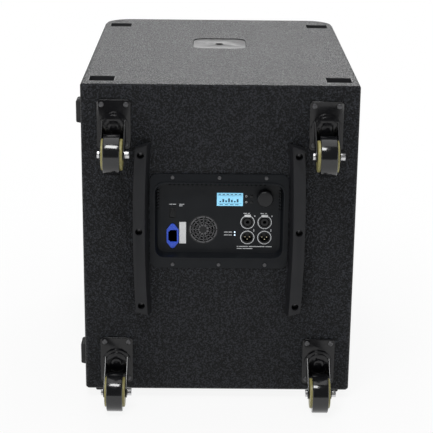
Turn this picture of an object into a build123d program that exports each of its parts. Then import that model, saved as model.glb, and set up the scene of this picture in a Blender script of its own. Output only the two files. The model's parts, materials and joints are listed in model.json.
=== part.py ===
from build123d import *
import math
import os

# Powered 18 inch class subwoofer: a plywood cabinet with an amplifier in its rear wall and four
# swivel casters on that wall, so that it tilts back and rolls.
#
# Working frame, in millimetres: the rear (amplifier) wall is the plane y = 0, the front is at
# y = CAB_D, z = 0 is the cabinet's underside and x = 0 its middle. "left" and "right" are as seen
# by someone facing the amplifier, so left is -X. Parts are written in the row frame, whose origin is
# the middle of the bounding box at floor level (see ROW).

os.makedirs("parts", exist_ok=True)

# ---------------------------------------------------------------- driving dimensions
# Facets of small and hidden round pieces, and how far a cutting form runs past a face
PAST = 1.0
CORNER_STEPS = 3
FRONT_STEPS = 6
FINE_SIDES = 24
ROUND_SIDES = 16
SCREW_SIDES = 12
SMALL_SIDES = 8

# Cabinet
CAB_W = 510.0
CAB_H = 603.0
CAB_D = 697.0
WALL = 18.0
EDGE_EASE = 3.5
REAR_CORNER_R = 7.0
FRONT_CORNER_R = 55.0

# Inner boards
PORT_H = 66.0
SHELF_Y = 200.0
BRACE_Y = 215.0
BRACE_BORDER = 70.0
BRACE_CORNER = 40.0

# Front grille and its foam
GRILLE_T = 1.5
GRILLE_INSET = 1.0
GRILLE_LIP = 12.0
SLOT_H = 24.0
SLOT_PITCH = 36.0
SLOT_COLUMNS = 2
SLOT_RIB = 12.0
SLOT_MARGIN = 8.0
FOAM_T = 6.0

# Rubber feet and the cups that take the feet of the next cabinet
FOOT_W = 44.0
FOOT_L = 38.0
FOOT_H = 19.0
SIDE_FOOT_H = 11.0
FOOT_TAPER = 8.0
FOOT_IN_X = 36.5
FOOT_REAR_Y = 50.0
FOOT_FRONT_Y = 616.0
SIDE_FOOT_Z = 59.5
CUP_GAP = 1.0
CUP_WALL = 2.5
CUP_DEPTH = 12.0

# Threaded pole sockets, M20 x 2.5
POLE_Y = 405.0
POLE_PLATE_W = 109.0
POLE_PLATE_L = 111.0
POLE_PLATE_R = 22.0
POLE_PLATE_T = 4.0
POLE_PLATE_SINK = 1.5
POLE_BOSS_R = 20.0
POLE_BOSS_L = 32.0
POLE_THREAD_R = 8.75

# Recessed bar handles, two in each side
HANDLE_Y = 349.0
HANDLE_L = 160.0
HANDLE_W = 100.0
HANDLE_DEPTH = 50.0
HANDLE_DRAFT = 6.0
HANDLE_WALL = 2.5
HANDLE_LIP = 8.0
HANDLE_CORNER = 14.0
HANDLE_STEPS = 2
HANDLE_CLEAR = 6.0
HANDLE_BAR_R = 11.0
HANDLE_BAR_UP = 15.0
HANDLE_BAR_IN = 13.0

# Transport rails
RAIL_AMP_GAP = 2.5
RAIL_Z = 328.0
RAIL_L = 322.0
RAIL_H = 21.0
RAIL_FACE_W = 22.0
RAIL_FLARE = 6.5
RAIL_BOW_R = 2800.0
RAIL_SLANT = 6.5
RAIL_STEPS = 10
RAIL_SCREW_PITCH = 147.0
RAIL_BORE_R = 6.75
RAIL_BORE_DEPTH = 15.0

# Amplifier frame: a moulded dish with a flat flange and a raised rim
AMP_Z = 344.0
AMP_W = 258.0
AMP_H = 184.0
AMP_R = 14.0
AMP_FLANGE_T = 3.0
RIM_SIDE = 6.5
RIM_END = 17.0
RIM_R = 20.0
RIM_RISE = 2.5
RIM_LAND = 3.0
DISH_UP = 1.3
DISH_DEPTH = 14.0
DISH_DRAFT = 4.5
DISH_WALL = 4.0
DISH_LIP = 5.5
PANEL_CORNER_R = 8.0
PANEL_T = 2.0
AMP_CUT_GAP = 2.0
VENT_W = 3.4
VENT_PITCH = 8.45
VENT_COUNT = 22
VENT_SHIFT = -3.4
VENT_Y = 5.0
SIDE_VENT_H = 2.3
SIDE_VENT_PITCH = 6.1
SIDE_VENT_COUNT = 7
SIDE_VENT_UP = 37.5
AMP_SCREW_PITCH = 86.7
AMP_SCREW_EDGE = 7.0
CHASSIS_DEPTH = 100.0
CHASSIS_T = 1.5
BOARD_T = 1.6
BOARD_BORDER = 15.0
PILLAR = 6.0
COIL_CORE_R = 26.0
PART_H = 32.0
FINS = 4
FIN_T, FIN_W, FIN_PITCH = 4.0, 50.0, 16.0

# Control panel layout: heights from the middle of the dish, the rest from the panel's edges inwards
LCD_FROM_BUTTONS, LCD_UP, LCD_W, LCD_H = 39.9, 37.2, 48.7, 25.3
LCD_PROUD = 0.4
LCD_T = 3.0
KNOB_IN, KNOB_UP = 24.0, 42.0
BUTTONS_FROM_KNOB, BUTTON_UP, BUTTON_PITCH = 25.6, 37.7, 11.4
BUTTON_W, BUTTON_H = 5.2, 4.4
ROCKER_UP = 9.7
INLET_IN, INLET_UP = 22.5, -35.0
FAN_FROM_INLET, FAN_UP = 57.3, -22.6
JACKS_FROM_KNOB, JACK_PITCH = 15.8, 32.1
INPUT_UP, OUTPUT_UP = -7.2, -37.4
LEDS_FROM_JACKS, LED_UP, LED_PITCH = 39.9, -29.9, 5.8

# Moving controls
RUN_GAP = 0.05
KNOB_R = 15.0
KNOB_H = 14.0
KNOB_LIFT = 1.6
KNOB_BEVEL = 1.8
KNOB_SHAFT_R = 3.0
KNOB_SHAFT_L = 4.0
PLUNGER_R = 4.5
COLLAR = 2.0
COLLAR_T = 3.0
REST_GAP = 0.1
PRESS = 0.8
BUTTON_PROUD = 1.4
BUTTON_LIP, BUTTON_LIP_T = 0.8, 1.6
ROCKER_W, ROCKER_H = 8.9, 16.7
ROCKER_TILT = 8.0
BEZEL_RIM = 1.4
BEZEL_PROUD = 1.0
BEZEL_DEPTH = 16.0
BEZEL_FLOOR = 2.0
NECK_WALL = 1.5
WELL_GAP = 1.0
ROCKER_DISH = 0.6
ROCKER_SWELL = 0.4
LATCH_W, LATCH_H = 12.0, 4.6
LATCH_PROUD = 1.5
LATCH_TRAVEL = 1.2
LATCH_RISE = 0.8
SLIDE_GAP = 0.15

# Connectors
JACK_R = 11.8
JACK_PROUD = 0.6
JACK_BODY = 26.0
JACK_DEPTH = 24.0
JACK_FLOOR = 2.0
XLR_R = 9.4
XLR_CORE_R = 7.7
XLR_DEPTH = 14.0
PHONE_R = 3.4
PIN_R = 1.2
PIN_CIRCLE_R = 4.6
PIN_L = 10.0
INLET_W, INLET_H = 22.5, 48.6
INLET_T = 2.5
INLET_EAR_R = 5.0
INLET_BODY_W, INLET_BODY_H = 20.0, 28.0
INLET_CAVITY_W, INLET_CAVITY_H = 16.4, 23.6
INLET_CAVITY_DEPTH = 16.0
INLET_CORNER = 2.0
INLET_FLOOR = 6.0
BLADE_W, BLADE_T, BLADE_PITCH = 4.0, 2.0, 7.0
EARTH_X, LINE_X = 2.5, -1.0
LED_R = 1.5
LED_PROUD = 0.8
LED_TAIL = 1.0

# Fan behind the panel
FAN_R = 28.5
FAN_SQUARE = 60.0
FAN_T = 16.0
FAN_DUCT_WALL = 1.0
FAN_HUB_R = 10.0
FAN_SHAFT_R = 2.0
FAN_TIP_GAP = 1.0
FAN_BLADES = 7
FAN_BLADE_T = 1.6
FAN_BLADE_W = 9.6
FAN_PITCH = 35.0
GUARD_HUB_R = 7.0
GUARD_SPOKES = 9
GUARD_SPOKE_W = 1.8
GUARD_RING_W = 2.0
BACK_ARMS = 3
BACK_ARM_T = 2.0

# Woofer
WOOFER_BORDER = 7.0
WOOFER_FLANGE_T = 10.0
WOOFER_LAP = 18.0
WOOFER_GAP = 1.0
BASKET_DEPTH = 150.0
BASKET_BACK_R = 100.0
BASKET_T = 4.0
BASKET_CLEAR = 8.0
BASKET_SPOKES = 6
SPOKE_W = 36.0
CONE_T = 3.0
CONE_DEPTH = 92.0
CONE_GAP = 0.4
CAP_UP = 12.0
SURROUND_LIP = 8.0
ROLL_W = 24.0
ROLL_T = 2.0
ROLL_H = 9.0
COIL_R = 52.0
COIL_T = 1.5
SPIDER_DEPTH = 118.0
SPIDER_W = 58.5
MAGNET_R = 95.0
MAGNET_FLOOR = 12.0
MAGNET_L = 52.0
MAGNET_GAP = 0.8

# Swivel casters, 75 mm wheel class, standing out from the rear wall
CASTER_X = 194.0
CASTER_TOP_DROP = 74.2
CASTER_LOW_Z = 62.5
PLATE_W, PLATE_H, PLATE_T, PLATE_CORNER = 62.0, 92.0, 3.0, 4.0
CASTER_SCREW_X, CASTER_SCREW_Z = 45.0, 74.0
AXLE_OUT = 56.0
TRAIL = 42.5
WHEEL_R = 37.0
TREAD_W = 30.0
CORE_R = 28.5
CORE_PROUD = 4.0
RACE_R, RACE_T = 24.5, 4.5
RACE_GAP = 0.5
CROWN_R = 28.5
CROWN_DROP = 4.0
CROWN_RING_R, CROWN_RING_H = 20.0, 4.0
KINGPIN_R, KINGPIN_HEAD_R, KINGPIN_HEAD_T = 6.0, 9.5, 3.0
FORK_T = 3.0
FORK_GAP = 0.4
LEG_END_R = 11.0
LEG_ROOT_Z, LEG_ROOT_L = -7.0, 34.0
SHOULDER_Z = -30.0
AXLE_R = 4.0
NUT_AF, NUT_T, AXLE_HEAD_T = 12.0, 8.5, 4.5

# Screws
CASTER_SCREW_R, CASTER_SCREW_T = 5.0, 2.6
RAIL_SCREW_R, RAIL_SCREW_T = 5.0, 3.0
AMP_SCREW_R, AMP_SCREW_T = 3.6, 2.0

# ---------------------------------------------------------------- derived places
HALF_W = CAB_W / 2
INNER_X = HALF_W - WALL
INNER_TOP = CAB_H - WALL
SHELF_Z = WALL + PORT_H
SHELF_TOP = SHELF_Z + WALL
BAFFLE_Y = CAB_D - FRONT_CORNER_R
RIM_W, RIM_H = AMP_W - 2 * RIM_SIDE, AMP_H - 2 * RIM_END
DISH_Z = AMP_Z + DISH_UP
PANEL_Y = DISH_DEPTH
WHEEL_OUT = AXLE_OUT + WHEEL_R
WOOFER_Z = (SHELF_TOP + INNER_TOP) / 2
WOOFER_R = min(INNER_X, (INNER_TOP - SHELF_TOP) / 2) - WOOFER_BORDER
WOOFER_HOLE_R = WOOFER_R - WOOFER_LAP
BASKET_SEAT_R = WOOFER_HOLE_R - WOOFER_GAP
SURROUND_R = WOOFER_R - SURROUND_LIP
CONE_R = SURROUND_R - ROLL_W
SPIDER_R = COIL_R + COIL_T + SPIDER_W
CASTER_Z = {"upper": CAB_H - CASTER_TOP_DROP, "lower": CASTER_LOW_Z}
SIDES = {"left": -1, "right": 1}
TOP_CUPS = [(sx * (HALF_W - FOOT_IN_X), y) for sx in (-1, 1) for y in (FOOT_REAR_Y, FOOT_FRONT_Y)]
SIDE_CUPS = [(y, z) for y in (FOOT_REAR_Y, FOOT_FRONT_Y) for z in (SIDE_FOOT_Z, CAB_H - SIDE_FOOT_Z)]
HANDLE_LOW = SHELF_TOP + HANDLE_CLEAR + HANDLE_WALL + HANDLE_W / 2
HANDLES = [HANDLE_LOW, CAB_H - HANDLE_LOW]
PANEL_HALF = RIM_W / 2 - RIM_LAND - DISH_DRAFT - DISH_LIP
KNOB_X = PANEL_HALF - KNOB_IN
BUTTON_X = KNOB_X - BUTTONS_FROM_KNOB
LCD_X = BUTTON_X - LCD_FROM_BUTTONS
INLET_X = ROCKER_X = INLET_IN - PANEL_HALF
FAN_X = INLET_X + FAN_FROM_INLET
JACK_X = KNOB_X - JACKS_FROM_KNOB
LED_X = JACK_X - LEDS_FROM_JACKS
JACKS_X = [JACK_X - JACK_PITCH / 2, JACK_X + JACK_PITCH / 2]
HUB_HALF = TREAD_W / 2 + CORE_PROUD
LEG_IN = HUB_HALF + FORK_GAP
LEG_OUT = LEG_IN + FORK_T
RAIL_X = AMP_W / 2 + RAIL_AMP_GAP + RAIL_FLARE + RAIL_FACE_W / 2

# The row's origin: the middle of the bounding box, on the floor.
ROW = Pos(SIDE_FOOT_H / 2, (WHEEL_OUT - CAB_D) / 2, FOOT_H)

parts = {}


# ---------------------------------------------------------------- helpers
def block(x0, x1, y0, y1, z0, z1):
    """A box given by its limits."""
    return Pos((x0 + x1) / 2, (y0 + y1) / 2, (z0 + z1) / 2) * Box(x1 - x0, y1 - y0, z1 - z0)


def along_y(sketch, y0, y1, x=0.0, z=0.0):
    """A sketch drawn as seen from the rear (x right, z up), extruded from y0 to y1."""
    plane = Plane(origin=(x, y1, z), x_dir=(1, 0, 0), z_dir=(0, -1, 0))
    return extrude(plane * sketch, y1 - y0)


def along_z(sketch, z0, z1, x=0.0, y=0.0):
    """A sketch drawn as seen from above, extruded from z0 to z1."""
    return extrude(Pos(x, y, z0) * sketch, z1 - z0)


def along_x(sketch, x0, x1, y=0.0, z=0.0):
    """A sketch drawn in y and z, extruded from x0 to x1."""
    plane = Plane(origin=(x0, y, z), x_dir=(0, 1, 0), z_dir=(1, 0, 0))
    return extrude(plane * sketch, x1 - x0)


def cornered(width, height, radius, steps=CORNER_STEPS):
    """The points of a rectangle whose corners are rounded in a few flat steps."""
    points = []
    for quarter, (sx, sy) in enumerate(((1, 1), (-1, 1), (-1, -1), (1, -1))):
        for i in range(steps + 1):
            turn = math.pi / 2 * (quarter + i / steps)
            points.append((sx * (width / 2 - radius) + radius * math.cos(turn),
                           sy * (height / 2 - radius) + radius * math.sin(turn)))
    return points


def outline(points):
    return make_face(Polyline(*points, close=True))


def rounded(width, height, radius):
    return outline(cornered(width, height, radius))


def solid_between(rings):
    """A solid with flat facets through rings of the same number of 3-D points."""
    faces = [Face(Wire.make_polygon(ring)) for ring in (rings[0], rings[-1])]
    for near, far in zip(rings, rings[1:]):
        for i in range(len(near)):
            j = (i + 1) % len(near)
            faces.append(Face(Wire.make_polygon([near[i], near[j], far[j], far[i]])))
    return Solid(Shell(faces))


def hexagon(across_flats):
    return RegularPolygon(across_flats / 2, 6, major_radius=False)


def on_side_wall(shape, side, y, z):
    """Stand a shape that faces up at z = 0 on a side wall at (y, z); its +x runs down the wall."""
    placed = Pos(HALF_W, y, z) * Rot(0, 90, 0) * shape
    return placed if side > 0 else mirror(placed, Plane.YZ)


def facet(radius, sides=ROUND_SIDES):
    """The plain outline of a small or hidden round piece, faceted so that the model stays light."""
    return RegularPolygon(radius, sides)


def around(radius, sides=SCREW_SIDES):
    """The faceted bore that a faceted shaft of this radius turns in, whatever its angle."""
    return RegularPolygon(radius + RUN_GAP, sides, major_radius=False)


def stacked_y(points, sides=ROUND_SIDES, x=0.0, z=0.0):
    """A faceted solid about a line along y; each point is (radius, y), from one end to the other."""
    turns = [2 * math.pi * i / sides for i in range(sides)]
    return solid_between([[(x + r * math.cos(a), y, z + r * math.sin(a)) for a in turns]
                          for r, y in points])


def group(shapes):
    return Compound([solid for shape in shapes for solid in shape.solids()])


def screw(radius, thickness, y, x, z):
    """A cheese head seen from the rear, its underside at y."""
    return along_y(facet(radius, SMALL_SIDES), y - thickness, y, x, z)


# ---------------------------------------------------------------- cabinet shell
def plan_points(inset):
    """The cabinet's plan seen from above, drawn in from the walls: small rear and large front corners."""
    rear_r, front_r = REAR_CORNER_R - inset, FRONT_CORNER_R - inset
    x, front = HALF_W - inset, CAB_D - inset
    points = []
    for quarter, (cx, cy, radius, steps) in enumerate((
            (x - front_r, front - front_r, front_r, FRONT_STEPS),
            (front_r - x, front - front_r, front_r, FRONT_STEPS),
            (rear_r - x, inset + rear_r, rear_r, CORNER_STEPS),
            (x - rear_r, inset + rear_r, rear_r, CORNER_STEPS))):
        for i in range(steps + 1):
            turn = math.pi / 2 * (quarter + i / steps)
            points.append((cx + radius * math.cos(turn), cy + radius * math.sin(turn)))
    return points


def envelope():
    """The cabinet's outer form: small rear corners, large front corners, eased top and bottom edges."""
    levels = ((0, EDGE_EASE), (EDGE_EASE, 0), (CAB_H - EDGE_EASE, 0), (CAB_H, EDGE_EASE))
    return solid_between([[(x, y, z) for x, y in plan_points(inset)] for z, inset in levels])


def cup_outline():
    return Rectangle(FOOT_W + 2 * (CUP_GAP + CUP_WALL), FOOT_L + 2 * (CUP_GAP + CUP_WALL))


def stacking_cup():
    """One cup, its mouth at z = 0."""
    height = CUP_DEPTH + CUP_WALL
    inside = Rectangle(FOOT_W + 2 * CUP_GAP, FOOT_L + 2 * CUP_GAP)
    return along_z(cup_outline(), -height, 0) - along_z(inside, -CUP_DEPTH, 0)


def cup_cut():
    return along_z(cup_outline(), -CUP_DEPTH - CUP_WALL, PAST)


def pole_socket():
    """A cast plate with a threaded boss below it, its plate sunk a little under z = 0."""
    plate = along_z(rounded(POLE_PLATE_W, POLE_PLATE_L, POLE_PLATE_R),
                    -POLE_PLATE_SINK - POLE_PLATE_T, -POLE_PLATE_SINK)
    boss = along_z(facet(POLE_BOSS_R, SMALL_SIDES), -POLE_PLATE_SINK - POLE_BOSS_L, -POLE_PLATE_SINK)
    return plate + boss - along_z(Circle(POLE_THREAD_R), -POLE_BOSS_L - POLE_PLATE_SINK - PAST, PAST)


def pole_cut():
    seat = along_z(rounded(POLE_PLATE_W, POLE_PLATE_L, POLE_PLATE_R),
                   -POLE_PLATE_SINK - POLE_PLATE_T, PAST)
    return seat + along_z(facet(POLE_BOSS_R, SMALL_SIDES), -WALL - PAST, PAST)


def cup_plan(grow):
    """The hand cup's outline, with cut corners; x is the short way, y the long way."""
    return cornered(HANDLE_W + 2 * grow, HANDLE_L + 2 * grow, HANDLE_CORNER + grow, HANDLE_STEPS)


def cup_form(grow, top, bottom):
    """The drafted form of the hand cup, between two depths."""
    return solid_between([[(x, y, z) for x, y in cup_plan(grow + z / HANDLE_DEPTH * HANDLE_DRAFT)]
                          for z in (top, bottom)])


def handle_hollow():
    return cup_form(0, HANDLE_WALL, HANDLE_WALL - HANDLE_DEPTH)


def handle_cup():
    """A moulded hand cup, its flange flush with z = 0."""
    flange = along_z(outline(cup_plan(HANDLE_LIP)), -HANDLE_WALL, 0)
    return flange + cup_form(HANDLE_WALL, -HANDLE_WALL, -HANDLE_DEPTH) - handle_hollow()


def handle_cut():
    seat = along_z(outline(cup_plan(HANDLE_LIP)), -HANDLE_WALL, PAST)
    return seat + along_z(outline(cup_plan(HANDLE_WALL)), -WALL - PAST, PAST)


def handle_bar():
    """The grip bar, between the cup's two drafted end walls."""
    bar = Rot(90, 0, 0) * extrude(facet(HANDLE_BAR_R, SCREW_SIDES), HANDLE_L / 2, both=True)
    return Pos(-HANDLE_BAR_UP, 0, -HANDLE_BAR_IN) * bar & handle_hollow()


SHELL = envelope()
top_cut = group(Pos(x, y, CAB_H) * cup_cut() for x, y in TOP_CUPS)
parts["top_panel"] = (SHELL & block(-HALF_W, HALF_W, 0, CAB_D, INNER_TOP, CAB_H)) - top_cut
parts["top_panel"] -= Pos(0, POLE_Y, CAB_H) * pole_cut()
parts["bottom_panel"] = SHELL & block(-HALF_W, HALF_W, 0, CAB_D, 0, WALL)


def side_wall(side):
    x_in, x_out = sorted((side * INNER_X, side * HALF_W))
    wall = SHELL & block(x_in, x_out, 0, BAFFLE_Y, WALL, INNER_TOP)
    for z in HANDLES:
        wall -= on_side_wall(handle_cut(), side, HANDLE_Y, z)
    return wall


parts["left_panel"] = side_wall(-1)
right = side_wall(1)
for y, z in SIDE_CUPS:
    right -= on_side_wall(cup_cut(), 1, y, z)
parts["right_panel"] = right - on_side_wall(pole_cut(), 1, POLE_Y, CAB_H / 2)

dish_back = Rectangle(RIM_W - 2 * RIM_LAND + 2 * AMP_CUT_GAP, RIM_H - 2 * RIM_LAND + 2 * AMP_CUT_GAP)
parts["rear_panel"] = (SHELL & block(-INNER_X, INNER_X, 0, WALL, WALL, INNER_TOP)) \
    - along_y(dish_back, -PAST, WALL + PAST, 0, DISH_Z)

parts["front_baffle"] = block(-INNER_X, INNER_X, BAFFLE_Y - WALL, BAFFLE_Y, SHELF_TOP, INNER_TOP) \
    - along_y(facet(WOOFER_HOLE_R), BAFFLE_Y - WALL - PAST, BAFFLE_Y + PAST, 0, WOOFER_Z)

brace_h = INNER_TOP - SHELF_TOP
brace_hole = Rectangle(2 * (INNER_X - BRACE_BORDER), brace_h - 2 * BRACE_BORDER)
brace_hole = chamfer(brace_hole.vertices(), BRACE_CORNER)
shelf = block(-INNER_X, INNER_X, SHELF_Y, BAFFLE_Y, SHELF_Z, SHELF_TOP)
brace = block(-INNER_X, INNER_X, BRACE_Y, BRACE_Y + WALL, SHELF_TOP, INNER_TOP) \
    - along_y(brace_hole, BRACE_Y - PAST, BRACE_Y + WALL + PAST, 0, SHELF_TOP + brace_h / 2)
parts["inner_boards"] = group([shelf, brace])


# ---------------------------------------------------------------- feet, cups, sockets, handles
def foot(height):
    """A tapered rubber foot hanging below z = 0."""
    return extrude(Rectangle(FOOT_W, FOOT_L), -height, taper=FOOT_TAPER)


feet = [Pos(x, y, 0) * foot(FOOT_H) for x, y in TOP_CUPS]
side_foot = Rot(180, 0, 0) * foot(SIDE_FOOT_H)
feet += [on_side_wall(side_foot, -1, y, z) for y, z in SIDE_CUPS]
parts["rubber_feet"] = group(feet)

cups = [Pos(x, y, CAB_H) * stacking_cup() for x, y in TOP_CUPS]
cups += [on_side_wall(stacking_cup(), 1, y, z) for y, z in SIDE_CUPS]
parts["stacking_cups"] = group(cups)

parts["pole_sockets"] = group([Pos(0, POLE_Y, CAB_H) * pole_socket(),
                               on_side_wall(pole_socket(), 1, POLE_Y, CAB_H / 2)])

parts["handle_cups"] = group(on_side_wall(handle_cup(), side, HANDLE_Y, z)
                             for side in (-1, 1) for z in HANDLES)
parts["handle_bars"] = group(on_side_wall(handle_bar(), side, HANDLE_Y, z)
                             for side in (-1, 1) for z in HANDLES)


# ---------------------------------------------------------------- grille and foam
def front_plan(inset):
    """The front part of the cabinet's plan, drawn in from the walls and square at the back."""
    radius = FRONT_CORNER_R - inset
    x, front = HALF_W - inset, CAB_D - inset
    turns = [math.pi / 2 * i / FRONT_STEPS for i in range(FRONT_STEPS + 1)]
    right = [(x - radius + radius * math.cos(a), front - radius + radius * math.sin(a)) for a in turns]
    return [(x, 0), *right, *[(-px, py) for px, py in reversed(right)], (-x, 0)]


def wrap(inset, thickness, z0, z1):
    """A U-shaped band that follows the front of the cabinet's plan."""
    plan = outline(front_plan(inset)) - outline(front_plan(inset + thickness))
    return along_z(plan, z0, z1) & block(-CAB_W, CAB_W, BAFFLE_Y, CAB_D, z0, z1)


def slot_places():
    """Centres of the long slots on the flat of the grille, and how long each is."""
    half_x = HALF_W - FRONT_CORNER_R - SLOT_MARGIN
    length = (2 * half_x - (SLOT_COLUMNS - 1) * SLOT_RIB) / SLOT_COLUMNS
    low, high = WALL + GRILLE_LIP + SLOT_MARGIN, INNER_TOP - GRILLE_LIP - SLOT_MARGIN
    rows = int((high - low - SLOT_H) / SLOT_PITCH) + 1
    first = (low + high) / 2 - (rows - 1) * SLOT_PITCH / 2
    places = [((column - (SLOT_COLUMNS - 1) / 2) * (length + SLOT_RIB), first + row * SLOT_PITCH)
              for row in range(rows) for column in range(SLOT_COLUMNS)]
    return places, length


grille = wrap(GRILLE_INSET, GRILLE_T, WALL, INNER_TOP)
for z0 in (WALL, INNER_TOP - GRILLE_T):
    grille += wrap(GRILLE_INSET, GRILLE_LIP, z0, z0 + GRILLE_T)
places, slot_l = slot_places()
slots = Sketch() + [Pos(x, z) * Rectangle(slot_l, SLOT_H) for x, z in places]
parts["grille"] = grille - along_y(slots, CAB_D - GRILLE_INSET - GRILLE_T - PAST, CAB_D)
parts["grille_foam"] = wrap(GRILLE_INSET + GRILLE_T, FOAM_T, WALL + GRILLE_T, INNER_TOP - GRILLE_T)


# ---------------------------------------------------------------- transport rails
def rail_bow(up):
    """How far the rail has bowed sideways at a height above its middle."""
    return up ** 2 / (2 * RAIL_BOW_R)


def rail():
    """A bowed skid, wider at its foot on the inner side, with slanted ends and deep screw bores."""
    outer, inner = -RAIL_FACE_W / 2, RAIL_FACE_W / 2
    section = ((outer, 0), (outer, -RAIL_H), (inner, -RAIL_H), (inner + RAIL_FLARE, 0))
    half = RAIL_L / 2 + RAIL_SLANT
    levels = [half * (2 * i / RAIL_STEPS - 1) for i in range(RAIL_STEPS + 1)]
    body = solid_between([[(x + rail_bow(up), y, up) for x, y in section] for up in levels])
    slope = math.degrees(math.atan(RAIL_SLANT / RAIL_FACE_W))
    for end in (-1, 1):
        tip = Pos(0, -RAIL_H / 2, end * RAIL_L / 2) * Rot(0, -end * slope, 0)
        body -= tip * Pos(0, 0, end * RAIL_FACE_W) * Box(4 * RAIL_FACE_W, 2 * RAIL_H, 2 * RAIL_FACE_W)
    for place in (-1, 0, 1):
        up = place * RAIL_SCREW_PITCH
        body -= along_y(facet(RAIL_BORE_R, SCREW_SIDES), -RAIL_H - PAST, RAIL_BORE_DEPTH - RAIL_H,
                        rail_bow(up), up)
    return body


rail_body = rail()
parts["left_rail"] = Pos(-RAIL_X, 0, RAIL_Z) * rail_body
parts["right_rail"] = mirror(Pos(-RAIL_X, 0, RAIL_Z) * rail_body, Plane.YZ)
rail_screws = []
for side in (-1, 1):
    for place in (-1, 0, 1):
        up = place * RAIL_SCREW_PITCH
        rail_screws.append(screw(RAIL_SCREW_R, RAIL_SCREW_T, RAIL_BORE_DEPTH - RAIL_H,
                                 side * (RAIL_X - rail_bow(up)), RAIL_Z + up))
parts["rail_screws"] = group(rail_screws)


# ---------------------------------------------------------------- amplifier frame and panel
dish_w, dish_h = RIM_W - 2 * RIM_LAND, RIM_H - 2 * RIM_LAND
floor_w, floor_h = dish_w - 2 * DISH_DRAFT, dish_h - 2 * DISH_DRAFT
panel_w, panel_h = floor_w - 2 * DISH_LIP, floor_h - 2 * DISH_LIP
rim_y = -AMP_FLANGE_T - RIM_RISE
back_y = PANEL_Y + PANEL_T


def amp_frame():
    frame = along_y(rounded(AMP_W, AMP_H, AMP_R), -AMP_FLANGE_T, 0, 0, AMP_Z)
    frame += along_y(rounded(RIM_W, RIM_H, RIM_R), rim_y, 0, 0, DISH_Z)
    frame += along_y(Rectangle(dish_w, dish_h), 0, back_y, 0, DISH_Z)
    mouth = cornered(dish_w, dish_h, RIM_R - RIM_LAND)
    floor = cornered(floor_w, floor_h, RIM_R - RIM_LAND - DISH_DRAFT)
    frame -= solid_between([[(x, y, DISH_Z + up) for x, up in points]
                            for points, y in ((mouth, rim_y), (floor, PANEL_Y))])
    frame -= along_y(rounded(panel_w, panel_h, PANEL_CORNER_R), PANEL_Y, back_y, 0, DISH_Z)
    reach = DISH_LIP / 2
    for i in range(VENT_COUNT):
        x = (i - (VENT_COUNT - 1) / 2) * VENT_PITCH + VENT_SHIFT
        frame -= block(x - VENT_W / 2, x + VENT_W / 2, VENT_Y, back_y,
                       DISH_Z + floor_h / 2 - reach, DISH_Z + dish_h / 2)
    for i in range(SIDE_VENT_COUNT):
        z = DISH_Z + SIDE_VENT_UP + (i - (SIDE_VENT_COUNT - 1) / 2) * SIDE_VENT_PITCH
        for side in (-1, 1):
            x0, x1 = sorted((side * (floor_w / 2 - reach), side * dish_w / 2))
            frame -= block(x0, x1, VENT_Y, back_y, z - SIDE_VENT_H / 2, z + SIDE_VENT_H / 2)
    return frame


parts["amp_frame"] = amp_frame()


def panel_at(sketch, x, up, y0, y1):
    """A sketch placed on the control panel by its distance from the dish's middle."""
    return along_y(sketch, y0, y1, x, DISH_Z + up)


def inlet_outline():
    middle = Rectangle(INLET_W, INLET_H - 4 * INLET_EAR_R)
    ear_up = INLET_H / 2 - INLET_EAR_R
    ears = [Pos(0, sign * ear_up) * facet(INLET_EAR_R, SMALL_SIDES) for sign in (-1, 1)]
    return make_hull((Sketch() + [chamfer(middle.vertices(), INLET_CORNER)] + ears).edges())


latch_up = XLR_R + LATCH_RISE + LATCH_H / 2
neck_w, neck_h = (size + 2 * SLIDE_GAP + NECK_WALL for size in (ROCKER_W, ROCKER_H))


def panel_cuts():
    through = (PANEL_Y - PAST, back_y + PAST)
    cuts = [panel_at(Rectangle(LCD_W, LCD_H), LCD_X, LCD_UP, *through),
            panel_at(facet(PLUNGER_R + SLIDE_GAP, SMALL_SIDES), KNOB_X, KNOB_UP, *through),
            panel_at(Rectangle(neck_w, neck_h), ROCKER_X, ROCKER_UP, *through),
            panel_at(Rectangle(INLET_BODY_W, INLET_BODY_H), INLET_X, INLET_UP, *through),
            panel_at(facet(FAN_R), FAN_X, FAN_UP, *through)]
    for i in (-1, 1):
        cuts.append(panel_at(Rectangle(BUTTON_W + 2 * SLIDE_GAP, BUTTON_H + 2 * SLIDE_GAP), BUTTON_X,
                             BUTTON_UP + i * BUTTON_PITCH / 2, *through))
        cuts.append(panel_at(facet(LED_R, SMALL_SIDES), LED_X, LED_UP + i * LED_PITCH / 2, *through))
    for x in JACKS_X:
        cuts.append(panel_at(facet(JACK_R), x, OUTPUT_UP, *through))
        cuts.append(panel_at(facet(JACK_R), x, INPUT_UP, *through))
        cuts.append(panel_at(Rectangle(LATCH_W + 2 * SLIDE_GAP, LATCH_H + 2 * SLIDE_GAP), x,
                             INPUT_UP + latch_up, *through))
    return group(cuts)


parts["control_panel"] = panel_at(rounded(panel_w, panel_h, PANEL_CORNER_R), 0, 0,
                                  PANEL_Y, back_y) - panel_cuts()

chassis_w, chassis_h = dish_w - 2 * DISH_WALL, dish_h - 2 * DISH_WALL
chassis_end = back_y + CHASSIS_DEPTH
parts["amp_chassis"] = panel_at(Rectangle(chassis_w, chassis_h), 0, 0, back_y, chassis_end) \
    - panel_at(Rectangle(chassis_w - 2 * CHASSIS_T, chassis_h - 2 * CHASSIS_T), 0, 0,
               back_y, chassis_end - CHASSIS_T)


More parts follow.
